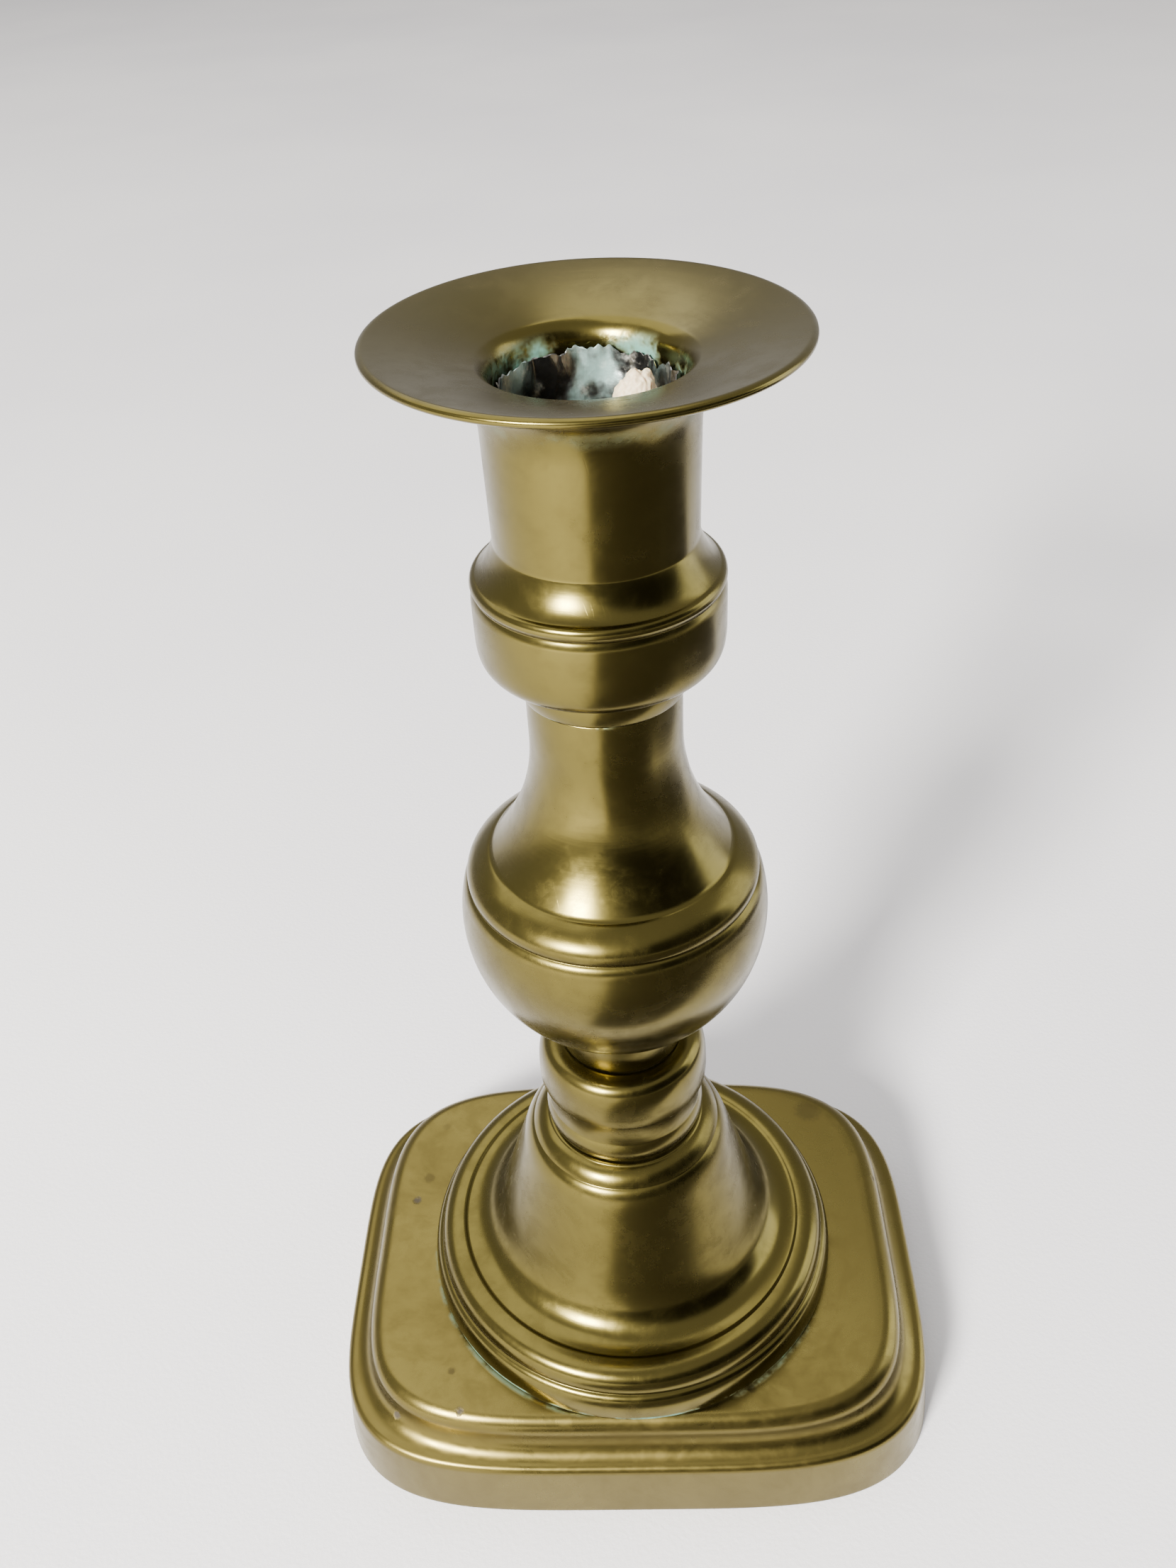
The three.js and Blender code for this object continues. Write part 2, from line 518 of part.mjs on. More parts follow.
const wornBrass = new THREE.MeshStandardMaterial({ color: 0xa8904c, roughness: 0.32, metalness: 1 });
const castBrass = new THREE.MeshStandardMaterial({ color: 0xa08a4a, roughness: 0.36, metalness: 1 });
const plainBrass = new THREE.MeshStandardMaterial({ color: 0x8f7a44, roughness: 0.5, metalness: 1 });
const iron = new THREE.MeshStandardMaterial({ color: 0x5b5650, roughness: 0.6, metalness: 1 });
const foil = new THREE.MeshStandardMaterial({ color: 0xb4b8ba, roughness: 0.35, metalness: 1 });
const wax = new THREE.MeshStandardMaterial({ color: 0xd8cdb0, roughness: 0.6, metalness: 0 });

/** Names a mesh and adds it to a group. */
function add(group, name, geometry, material) {
  const mesh = new THREE.Mesh(geometry, material);
  mesh.name = name;
  group.add(mesh);
}

const stick = new THREE.Group();
add(stick, 'foot_plate', footPlate(), castBrass);
add(stick, 'bell_foot', bellFoot(), wornBrass);
add(stick, 'knop', knop(), wornBrass);
add(stick, 'baluster', baluster(), wornBrass);
add(stick, 'candle_socket', candleSocket(), wornBrass);
add(stick, 'tenon_washer', tenonWasher(), plainBrass);
add(stick, 'tenon_nut', tenonNut(), plainBrass);

const ejector = new THREE.Group();
add(ejector, 'push_rod', pushRod(), iron);
add(ejector, 'rod_collar', rodCollar(), plainBrass);
add(ejector, 'candle_seat', candleSeat(), plainBrass);
add(ejector, 'push_button', pushButton(), plainBrass);
add(ejector, 'foil_sleeve', foilSleeve(), foil);
add(ejector, 'wax_pool', waxPool(), wax);
add(ejector, 'wax_lump', waxLump(), wax);

const candlestick = new THREE.Group();
candlestick.add(stick, ejector);

export default candlestick;
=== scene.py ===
"""Looks of a turned brass candlestick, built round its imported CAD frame."""

import logging
import math
from dataclasses import dataclass, field
from enum import Enum
from typing import Callable

import bmesh
import bpy
from mathutils import Euler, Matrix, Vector, noise

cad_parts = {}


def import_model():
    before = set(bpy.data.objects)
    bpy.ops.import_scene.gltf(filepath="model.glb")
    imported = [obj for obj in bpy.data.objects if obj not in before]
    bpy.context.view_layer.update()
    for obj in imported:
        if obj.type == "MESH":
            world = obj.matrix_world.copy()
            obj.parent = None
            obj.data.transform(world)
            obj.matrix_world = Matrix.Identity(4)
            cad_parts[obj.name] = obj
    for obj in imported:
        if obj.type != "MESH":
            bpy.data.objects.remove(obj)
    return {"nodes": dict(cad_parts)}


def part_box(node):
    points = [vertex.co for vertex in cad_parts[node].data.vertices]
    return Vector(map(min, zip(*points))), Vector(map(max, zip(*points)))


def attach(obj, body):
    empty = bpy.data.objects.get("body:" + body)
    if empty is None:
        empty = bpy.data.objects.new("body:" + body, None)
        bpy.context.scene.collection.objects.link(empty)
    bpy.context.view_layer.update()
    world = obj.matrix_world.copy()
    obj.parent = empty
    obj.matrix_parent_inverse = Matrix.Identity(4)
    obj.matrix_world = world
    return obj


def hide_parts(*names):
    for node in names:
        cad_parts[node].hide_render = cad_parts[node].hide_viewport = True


LOG = logging.getLogger("candlestick")
MM = 0.001
SEAT_GAP = 0.3
SHARP_ANGLE = math.radians(38)
FLAT_ANGLE = math.radians(12)
BROKEN_EDGE = 0.22
NO_LENGTH = 1e-5


class Slot(Enum):
    """Material slots of the record."""

    WORN_BRASS = "worn_brass"
    CAST_BRASS = "cast_brass"
    PLAIN_BRASS = "plain_brass"
    IRON = "iron"
    FOIL = "foil"
    WAX = "wax"


class Body(Enum):
    """Bodies of the CAD frame."""

    STICK = "stick"
    EJECTOR = "ejector"


# ---------------------------------------------------------------------------
# Shader graphs
# ---------------------------------------------------------------------------


class Graph:
    """Adds nodes to one shader tree and links them."""

    def __init__(self, tree: bpy.types.NodeTree) -> None:
        self.tree = tree

    def add(self, kind: str, inputs: dict | None = None, **settings: object) -> bpy.types.Node:
        """Adds a node.

        Args:
            kind: The node's type without the "ShaderNode" in front.
            inputs: Input name or index to a socket or a constant.
            **settings: Attributes to set on the node before its inputs.

        Returns:
            The new node.
        """
        node = self.tree.nodes.new(f"ShaderNode{kind}")
        for name, value in settings.items():
            setattr(node, name, value)
        self.settle(node, inputs or {})
        return node

    def settle(self, node: bpy.types.Node, values: dict) -> None:
        """Feeds several inputs of a node.

        Args:
            node: The node.
            values: Input name or index to a socket or a constant.
        """
        for key, value in values.items():
            self.feed(node.inputs[key], value)

    def feed(self, socket: bpy.types.NodeSocket, value: object) -> None:
        """Links a socket, or sets its constant.

        Args:
            socket: The input to feed.
            value: An output socket or a constant.
        """
        if isinstance(value, bpy.types.NodeSocket):
            self.tree.links.new(value, socket)
        else:
            socket.default_value = value

    def math(self, operation: str, a: object, b: object = 0.0, clamp: bool = False) -> bpy.types.NodeSocket:
        """Adds a math node.

        Args:
            operation: The node's operation.
            a: First operand.
            b: Second operand.
            clamp: Whether the result is held between 0 and 1.

        Returns:
            The result's socket.
        """
        node = self.add("Math", {0: a, 1: b}, operation=operation, use_clamp=clamp)
        return node.outputs[0]

    def times(self, a: object, b: object) -> bpy.types.NodeSocket:
        """Multiplies two values; see math."""
        return self.math("MULTIPLY", a, b)

    def plus(self, a: object, b: object, clamp: bool = False) -> bpy.types.NodeSocket:
        """Adds two values; see math."""
        return self.math("ADD", a, b, clamp)

    def minus(self, a: object, b: object) -> bpy.types.NodeSocket:
        """Subtracts the second value from the first; see math."""
        return self.math("SUBTRACT", a, b)

    def highest(self, a: object, b: object) -> bpy.types.NodeSocket:
        """Takes the higher of two values; see math."""
        return self.math("MAXIMUM", a, b)

    def step(self, value: object, low: float, high: float) -> bpy.types.NodeSocket:
        """Rises smoothly from 0 to 1 between two values, or falls if low is above high.

        Args:
            value: The value that is compared.
            low: Where the result is 0.
            high: Where the result is 1.

        Returns:
            The result's socket.
        """
        flipped = low > high
        start, end = (high, low) if flipped else (low, high)
        node = self.add(
            "MapRange",
            {"Value": value, "From Min": start, "From Max": end},
            interpolation_type="SMOOTHSTEP",
        )
        if flipped:
            node.inputs["To Min"].default_value = 1.0
            node.inputs["To Max"].default_value = 0.0
        return node.outputs["Result"]

    def noise(
        self, vector: object, scale: float, detail: float = 4.0, roughness: float = 0.55
    ) -> bpy.types.NodeSocket:
        """Adds a noise texture.

        Args:
            vector: Where the noise is read.
            scale: Its scale.
            detail: Its octaves.
            roughness: How strong the finer octaves are.

        Returns:
            The value's socket.
        """
        node = self.add(
            "TexNoise",
            {"Vector": vector, "Scale": scale, "Detail": detail, "Roughness": roughness},
        )
        return node.outputs["Fac"]

    def mix(self, factor: object, a: object, b: object) -> bpy.types.NodeSocket:
        """Mixes two colours.

        Args:
            factor: Share of the second colour.
            a: First colour.
            b: Second colour.

        Returns:
            The colour's socket.
        """
        node = self.add("Mix", data_type="RGBA")
        self.feed(node.inputs[0], factor)
        self.feed(node.inputs[6], a)
        self.feed(node.inputs[7], b)
        return node.outputs[2]

    def place(self) -> bpy.types.NodeSocket:
        """Object coordinates, which are the row frame in metres.

        Returns:
            The vector's socket.
        """
        return self.add("TexCoord").outputs["Object"]


def new_group(
    name: str, inputs: dict[str, float], outputs: tuple[str, ...]
) -> tuple[Graph, bpy.types.Node, bpy.types.Node]:
    """Makes an empty node group of value sockets.

    Args:
        name: The group's name.
        inputs: Input names and their defaults.
        outputs: Output names.

    Returns:
        The group's graph, its input node and its output node.
    """
    tree = bpy.data.node_groups.new(name, "ShaderNodeTree")
    for label, value in inputs.items():
        socket = tree.interface.new_socket(label, in_out="INPUT", socket_type="NodeSocketFloat")
        socket.default_value = value
    for label in outputs:
        tree.interface.new_socket(label, in_out="OUTPUT", socket_type="NodeSocketFloat")
    start = tree.nodes.new("NodeGroupInput")
    end = tree.nodes.new("NodeGroupOutput")
    return Graph(tree), start, end


@dataclass
class Effects:
    """Node groups that the finishes share."""

    groups: dict[str, bpy.types.NodeTree] = field(default_factory=dict)

    def use(self, graph: Graph, name: str, inputs: dict | None = None) -> bpy.types.Node:
        """Puts a shared group into a material.

        Args:
            graph: The material's graph.
            name: The group's name.
            inputs: Its inputs.

        Returns:
            The group node.
        """
        if name not in self.groups:
            makers: dict[str, Callable[[], bpy.types.NodeTree]] = {
                "Round coordinates": self.round_coordinates,
                "Turning lines": self.turning_lines,
                "Tarnish": self.tarnish,
                "Pits": self.pits,
                "Ring": self.ring,
                "Spot": self.spot,
                "Scratches": self.scratches,
                "Crevice": self.crevice,
            }
            self.groups[name] = makers[name]()
        node = graph.tree.nodes.new("ShaderNodeGroup")
        node.node_tree = self.groups[name]
        graph.settle(node, inputs or {})
        return node

    def round_coordinates(self) -> bpy.types.NodeTree:
        """Radius, angle and height in the row frame.

        Returns:
            The group.
        """
        graph, _, end = new_group("Round coordinates", {}, ("Radius", "Angle", "Height"))
        parts = graph.add("SeparateXYZ", {0: graph.place()})
        x, y, z = parts.outputs
        squares = graph.plus(graph.times(x, x), graph.times(y, y))
        values = {
            "Radius": graph.math("SQRT", squares),
            "Angle": graph.math("ARCTAN2", y, x),
            "Height": z,
        }
        graph.settle(end, values)
        return graph.tree

    def turning_lines(self) -> bpy.types.NodeTree:
        """Fine rings left by the lathe tool, a little uneven along their length.

        Returns:
            The group.
        """
        graph, start, end = new_group("Turning lines", {"Scale": 1600.0}, ("Height", "Broad"))
        coordinates = self.use(graph, "Round coordinates").outputs
        drift = graph.noise(graph.place(), 60.0, 1.0)
        shift = graph.times(drift, 0.0016)
        along = graph.add("CombineXYZ", {0: coordinates["Radius"], 1: coordinates["Height"], 2: shift})
        sizes = {0: along.outputs[0], "Scale": start.outputs["Scale"]}
        scaled = graph.add("VectorMath", sizes, operation="SCALE")
        fine = graph.noise(scaled.outputs[0], 1.0, 3.0, 0.6)
        broad = graph.noise(scaled.outputs[0], 0.22, 2.0, 0.5)
        graph.feed(end.inputs["Height"], fine)
        graph.feed(end.inputs["Broad"], broad)
        return graph.tree

    def tarnish(self) -> bpy.types.NodeTree:
        """Cloudy patches of dull brown over the metal, and finer smudges.

        Returns:
            The group.
        """
        graph, start, end = new_group("Tarnish", {"Amount": 0.5}, ("Patches", "Smudges"))
        place = graph.place()
        warp = graph.add("TexNoise", {"Vector": place, "Scale": 35.0, "Detail": 3.0})
        offset = graph.add("VectorMath", {0: warp.outputs["Color"], "Scale": 0.02}, operation="SCALE")
        warped = graph.add("VectorMath", {0: place, 1: offset.outputs[0]}, operation="ADD")
        large = graph.noise(warped.outputs[0], 42.0, 6.0, 0.6)
        fine = graph.noise(warped.outputs[0], 260.0, 5.0, 0.65)
        mixed = graph.plus(graph.times(large, 0.75), graph.times(fine, 0.25))
        spread = graph.plus(mixed, graph.times(start.outputs["Amount"], 0.3))
        graph.feed(end.inputs["Patches"], graph.step(spread, 0.5, 0.82))
        graph.feed(end.inputs["Smudges"], graph.step(fine, 0.42, 0.68))
        return graph.tree

    def pits(self) -> bpy.types.NodeTree:
        """Sparse dark pits of a millimetre or less.

        Returns:
            The group.
        """
        graph, start, end = new_group("Pits", {"Scale": 170.0, "Share": 0.12}, ("Mask",))
        cells = graph.add("TexVoronoi", {"Vector": graph.place(), "Scale": start.outputs["Scale"]})
        ragged = graph.noise(graph.place(), 1400.0, 2.0)
        reach = graph.plus(cells.outputs["Distance"], graph.times(ragged, 0.16))
        core = graph.step(reach, 0.26, 0.14)
        parts = graph.add("SeparateColor", {0: cells.outputs["Color"]})
        chosen = graph.math("LESS_THAN", parts.outputs[0], start.outputs["Share"])
        graph.feed(end.inputs["Mask"], graph.times(core, chosen))
        return graph.tree

    def ring(self) -> bpy.types.NodeTree:
        """A soft ring round the axis, at a radius and a height in metres.

        Returns:
            The group.
        """
        defaults = {"Radius": 0.03, "Height": 0.02, "Width": 0.001}
        graph, start, end = new_group("Ring", defaults, ("Mask",))
        coordinates = self.use(graph, "Round coordinates").outputs
        across = graph.minus(coordinates["Radius"], start.outputs["Radius"])
        up = graph.minus(coordinates["Height"], start.outputs["Height"])
        squares = graph.plus(graph.times(across, across), graph.times(up, up))
        share = graph.math("DIVIDE", graph.math("SQRT", squares), start.outputs["Width"])
        graph.feed(end.inputs["Mask"], graph.step(share, 1.0, 0.25))
        return graph.tree

    def spot(self) -> bpy.types.NodeTree:
        """A round spot with a ragged edge, at a place in metres.

        Returns:
            The group.
        """
        defaults = {"X": 0.0, "Y": 0.0, "Z": 0.0, "Radius": 0.001}
        graph, start, end = new_group("Spot", defaults, ("Mask",))
        outputs = start.outputs
        middle = graph.add("CombineXYZ", {0: outputs["X"], 1: outputs["Y"], 2: outputs["Z"]})
        apart = graph.add("VectorMath", {0: graph.place(), 1: middle.outputs[0]}, operation="DISTANCE")
        share = graph.math("DIVIDE", apart.outputs["Value"], outputs["Radius"])
        ragged = graph.times(graph.noise(graph.place(), 1500.0, 3.0), 0.7)
        graph.feed(end.inputs["Mask"], graph.step(graph.plus(share, ragged), 1.35, 0.75))
        return graph.tree

    def scratches(self) -> bpy.types.NodeTree:
        """Fine handling scratches that run every way.

        Returns:
            The group.
        """
        graph, start, end = new_group("Scratches", {"Scale": 90.0}, ("Mask",))
        marks = None
        for turn in (0.4, 1.5, 2.6):
            rotation = (turn, turn * 1.7, turn * 0.6)
            turned = graph.add("Mapping", {"Vector": graph.place(), "Rotation": rotation})
            stretch = {0: turned.outputs[0], 1: (1.0, 14.0, 1.0)}
            stretched = graph.add("VectorMath", stretch, operation="MULTIPLY")
            cells = graph.add(
                "TexVoronoi",
                {"Vector": stretched.outputs[0], "Scale": start.outputs["Scale"]},
                feature="DISTANCE_TO_EDGE",
            )
            line = graph.step(cells.outputs["Distance"], 0.014, 0.002)
            marks = line if marks is None else graph.highest(marks, line)
        gaps = graph.step(graph.noise(graph.place(), 120.0, 3.0), 0.5, 0.66)
        graph.feed(end.inputs["Mask"], graph.times(marks, gaps))
        return graph.tree

    def crevice(self) -> bpy.types.NodeTree:
        """Where two surfaces meet, read from ambient occlusion: the mask darkens these hollows, partly as
        grime and partly as painted shade.

        Returns:
            The group.
        """
        graph, start, end = new_group("Crevice", {"Distance": 0.0013}, ("Mask",))
        shade = graph.add("AmbientOcclusion", {"Distance": start.outputs["Distance"]}, samples=16)
        graph.feed(end.inputs["Mask"], graph.step(shade.outputs["AO"], 0.6, 0.15))
        return graph.tree


@dataclass(frozen=True)
class Rings:
    """One ring of green corrosion: a seam or a mouth."""

    radius: float
    height: float
    width: float


@dataclass(frozen=True)
class Stain:
    """One stain of the metal: its middle and its radius in millimetres, and how dark it is."""

    place: tuple[float, float, float]
    radius: float
    strength: float


class Finish:
    """A procedural finish. Subclasses fill in the graph."""

    name = "finish"

    def material(self, effects: Effects) -> bpy.types.Material:
        """Makes the finish's material.

        Args:
            effects: The shared node groups.

        Returns:
            The material.
        """
        material = bpy.data.materials.new(self.name)
        material.use_nodes = True
        graph = Graph(material.node_tree)
        shader = material.node_tree.nodes["Principled BSDF"]
        self.shade(graph, shader, effects)
        return material

    def shade(self, graph: Graph, shader: bpy.types.Node, effects: Effects) -> None:
        """Feeds the material's shader.

        Args:
            graph: The material's graph.
            shader: Its Principled node.
            effects: The shared node groups.
        """
        raise NotImplementedError


@dataclass(frozen=True)
class Brass(Finish):
    """Old brass: a dull olive gold, browner where it has tarnished, greener in its seams."""

    name: str
    bright: tuple[float, float, float, float] = (0.124, 0.102, 0.028, 1.0)
    dull: tuple[float, float, float, float] = (0.086, 0.069, 0.019, 1.0)
    # Dark colour for pits and stains, and also for painted shade in the crevices.
    dirt_and_shade: tuple[float, float, float, float] = (0.035, 0.027, 0.014, 1.0)
    verdigris: tuple[float, float, float, float] = (0.085, 0.20, 0.155, 1.0)
    roughness: float = 0.20
    amount: float = 0.35
    line_depth: float = 0.03
    line_scale: float = 1600.0
    pit_share: float = 0.02
    anisotropy: float = 0.12
    smudge_tint: float = 0.25
    line_tint: float = 0.25
    scratch_tint: float = 0.12
    scratch_depth: float = 0.008
    dirt_and_shade_tint: float = 0.3
    pit_depth: float = 0.4
    green_cover: float = 0.95
    pit_cover: float = 0.7
    seams: tuple[Rings, ...] = ()
    stains: tuple[Stain, ...] = ()

    def corrosion(self, graph: Graph, effects: Effects) -> bpy.types.NodeSocket:
        """Mask of green corrosion in the seams, broken up along their length.

        Args:
            graph: The material's graph.
            effects: The shared node groups.

        Returns:
            The mask's socket.
        """
        mask: object = 0.0
        for seam in self.seams:
            sizes = {"Radius": seam.radius, "Height": seam.height, "Width": seam.width}
            mask = graph.highest(mask, effects.use(graph, "Ring", sizes).outputs["Mask"])
        broken = graph.step(graph.noise(graph.place(), 70.0, 5.0, 0.7), 0.46, 0.62)
        return graph.times(mask, broken)

    def shade(self, graph: Graph, shader: bpy.types.Node, effects: Effects) -> None:
        """Feeds the brass's shader.

        Args:
            graph: The material's graph.
            shader: Its Principled node.
            effects: The shared node groups.
        """
        clouds = effects.use(graph, "Tarnish", {"Amount": self.amount}).outputs
        lines = effects.use(graph, "Turning lines", {"Scale": self.line_scale}).outputs
        pits = effects.use(graph, "Pits", {"Share": self.pit_share}).outputs["Mask"]
        marks = effects.use(graph, "Scratches").outputs["Mask"]
        # Crevice mask from ambient occlusion: grime in the hollows, partly painted shade where surfaces meet.
        dirt_and_shade = effects.use(graph, "Crevice").outputs["Mask"]
        green = self.corrosion(graph, effects)
        colour = graph.mix(clouds["Patches"], self.bright, self.dull)
        colour = graph.mix(graph.times(clouds["Smudges"], self.smudge_tint), colour, self.dull)
        colour = graph.mix(graph.times(lines["Broad"], self.line_tint), colour, self.dull)
        colour = graph.mix(graph.times(marks, self.scratch_tint), colour, self.bright)
        # Darkens the crevices, partly as grime and partly as painted shade.
        colour = graph.mix(graph.times(dirt_and_shade, self.dirt_and_shade_tint), colour, self.dirt_and_shade)
        colour = graph.mix(pits, colour, self.dirt_and_shade)
        for stain in self.stains:
            x, y, z = (distance * MM for distance in stain.place)
            sizes = {"X": x, "Y": y, "Z": z, "Radius": stain.radius * MM}
            mask = graph.times(effects.use(graph, "Spot", sizes).outputs["Mask"], stain.strength)
            colour = graph.mix(mask, colour, self.dirt_and_shade)
        colour = graph.mix(green, colour, self.verdigris)
        rough = graph.plus(graph.times(clouds["Patches"], 0.1), self.roughness)
        rough = graph.plus(rough, graph.times(clouds["Smudges"], 0.05))
        rough = graph.plus(rough, graph.times(graph.highest(green, pits), 0.45))
        rough = graph.plus(rough, graph.times(dirt_and_shade, 0.2), clamp=True)
        covered = graph.highest(graph.times(green, self.green_cover), graph.times(pits, self.pit_cover))
        relief = graph.times(lines["Height"], self.line_depth)
        relief = graph.plus(relief, graph.times(lines["Broad"], self.line_depth))
        relief = graph.minus(relief, graph.times(pits, self.pit_depth))
        relief = graph.minus(relief, graph.times(marks, self.scratch_depth))
        relief = graph.plus(relief, graph.times(green, 0.4))
        bump = graph.add("Bump", {"Strength": 1.0, "Distance": 0.0002, "Height": relief})
        tangent = graph.add("Tangent", direction_type="RADIAL", axis="Z")
        values = {
            "Base Color": colour,
            "Metallic": graph.minus(1.0, covered),
            "Roughness": rough,
            "Anisotropic": self.anisotropy,
            "Tangent": tangent.outputs[0],
            "Normal": bump.outputs[0],
        }
        graph.settle(shader, values)


@dataclass(frozen=True)
class Iron(Finish):
    """Dark wire with a thin bloom of rust."""

    name: str = "dark_iron"

    def shade(self, graph: Graph, shader: bpy.types.Node, effects: Effects) -> None:
        """Feeds the iron's shader.

        Args:
            graph: The material's graph.
            shader: Its Principled node.
            effects: The shared node groups.
        """
        clouds = effects.use(graph, "Tarnish", {"Amount": 0.45}).outputs
        lines = effects.use(graph, "Turning lines", {"Scale": 2600.0}).outputs
        colour = graph.mix(clouds["Patches"], (0.14, 0.125, 0.11, 1.0), (0.11, 0.045, 0.02, 1.0))
        rough = graph.plus(graph.times(clouds["Patches"], 0.35), 0.42, clamp=True)
        relief = graph.plus(graph.times(lines["Height"], 0.15), clouds["Smudges"])
        bump = graph.add("Bump", {"Strength": 0.6, "Distance": 0.0001, "Height": relief})
        values = {
            "Base Color": colour,
            "Metallic": graph.minus(1.0, clouds["Patches"]),
            "Roughness": rough,
            "Normal": bump.outputs[0],
        }
        graph.settle(shader, values)


@dataclass(frozen=True)
class Foil(Finish):
    """Creased silver foil, soiled with wax and green corrosion."""

    name: str = "creased_foil"

    def shade(self, graph: Graph, shader: bpy.types.Node, effects: Effects) -> None:
        """Feeds the foil's shader.

        Args:
            graph: The material's graph.
            shader: Its Principled node.
            effects: The shared node groups.
        """
        place = graph.place()
        stretched = graph.add("VectorMath", {0: place, 1: (1.0, 1.0, 0.35)}, operation="MULTIPLY")
        creases = graph.add(
            "TexVoronoi", {"Vector": stretched.outputs[0], "Scale": 210.0}, feature="DISTANCE_TO_EDGE"
        )
        folds = graph.step(creases.outputs["Distance"], 0.0, 0.35)
        clouds = effects.use(graph, "Tarnish", {"Amount": 0.3}).outputs
        depth = graph.add("SeparateXYZ", {0: place}).outputs["Y"]
        rear = graph.step(depth, 0.002, 0.008)
        stain = graph.times(graph.step(graph.noise(place, 130.0, 4.0), 0.42, 0.6), rear)
        bloom = graph.step(graph.noise(place, 190.0, 5.0, 0.7), 0.5, 0.62)
        bloom = graph.times(bloom, graph.step(depth, -0.002, 0.005))
        colour = graph.mix(clouds["Patches"], (0.16, 0.16, 0.155, 1.0), (0.06, 0.055, 0.045, 1.0))
        colour = graph.mix(graph.times(bloom, 0.6), colour, (0.50, 0.48, 0.42, 1.0))
        colour = graph.mix(graph.times(stain, 0.7), colour, (0.20, 0.34, 0.31, 1.0))
        rough = graph.plus(graph.times(graph.highest(stain, bloom), 0.3), 0.28)
        relief = graph.plus(folds, graph.times(graph.noise(place, 900.0, 3.0), 0.25))
        bump = graph.add("Bump", {"Strength": 0.9, "Distance": 0.0003, "Height": relief})
        values = {
            "Base Color": colour,
            "Metallic": graph.minus(1.0, graph.times(stain, 0.6)),
            "Roughness": rough,
            "Normal": bump.outputs[0],
        }
        graph.settle(shader, values)


@dataclass(frozen=True)
class Wax(Finish):
    """Old cream wax with grime in patches, darker in its hollows partly as grime and partly as painted shade.
    """

    name: str = "old_wax"
    clean: tuple[float, float, float, float] = (0.62, 0.51, 0.33, 1.0)
    grimy_and_shaded: tuple[float, float, float, float] = (0.30, 0.22, 0.12, 1.0)

    def shade(self, graph: Graph, shader: bpy.types.Node, effects: Effects) -> None:
        """Feeds the wax's shader.

        Args:
            graph: The material's graph.
            shader: Its Principled node.
            effects: The shared node groups.
        """
        place = graph.place()
        grime = graph.step(graph.noise(place, 240.0, 5.0, 0.65), 0.46, 0.7)
        # Ambient occlusion darkens the wax's hollows: partly grime, partly painted shade.
        dirt_and_shade = effects.use(graph, "Crevice", {"Distance": 0.002}).outputs["Mask"]
        dark = graph.highest(graph.times(grime, 0.7), dirt_and_shade)
        relief = graph.noise(place, 420.0, 5.0, 0.6)
        bump = graph.add("Bump", {"Strength": 0.7, "Distance": 0.0004, "Height": relief})
        values = {
            "Base Color": graph.mix(dark, self.clean, self.grimy_and_shaded),
            "Roughness": graph.plus(graph.times(dark, 0.25), 0.5),
            "Subsurface Weight": 0.35,
            "Subsurface Scale": 0.002,
            "Subsurface Radius": (1.0, 0.6, 0.3),
            "Normal": bump.outputs[0],
        }
        graph.settle(shader, values)


@dataclass(frozen=True)
class Cloth(Finish):
    """Pale woven cloth."""

    name: str = "pale_cloth"

    def shade(self, graph: Graph, shader: bpy.types.Node, effects: Effects) -> None:
        """Feeds the cloth's shader.

        Args:
            graph: The material's graph.
            shader: Its Principled node.
            effects: The shared node groups; not used here.
        """
        place = graph.place()
        tint = graph.step(graph.noise(place, 3.0, 3.0), 0.3, 0.7)
        weave = graph.noise(place, 1100.0, 2.0)
        colour = graph.mix(tint, (0.66, 0.65, 0.67, 1.0), (0.73, 0.72, 0.725, 1.0))
        bump = graph.add("Bump", {"Strength": 0.25, "Distance": 0.0003, "Height": weave})
        values = {
            "Base Color": colour,
            "Roughness": 0.95,
            "Specular IOR Level": 0.15,
            "Sheen Weight": 0.1,
            "Normal": bump.outputs[0],
        }
        graph.settle(shader, values)


# ---------------------------------------------------------------------------
# Geometry
# ---------------------------------------------------------------------------

Point = tuple[float, float]


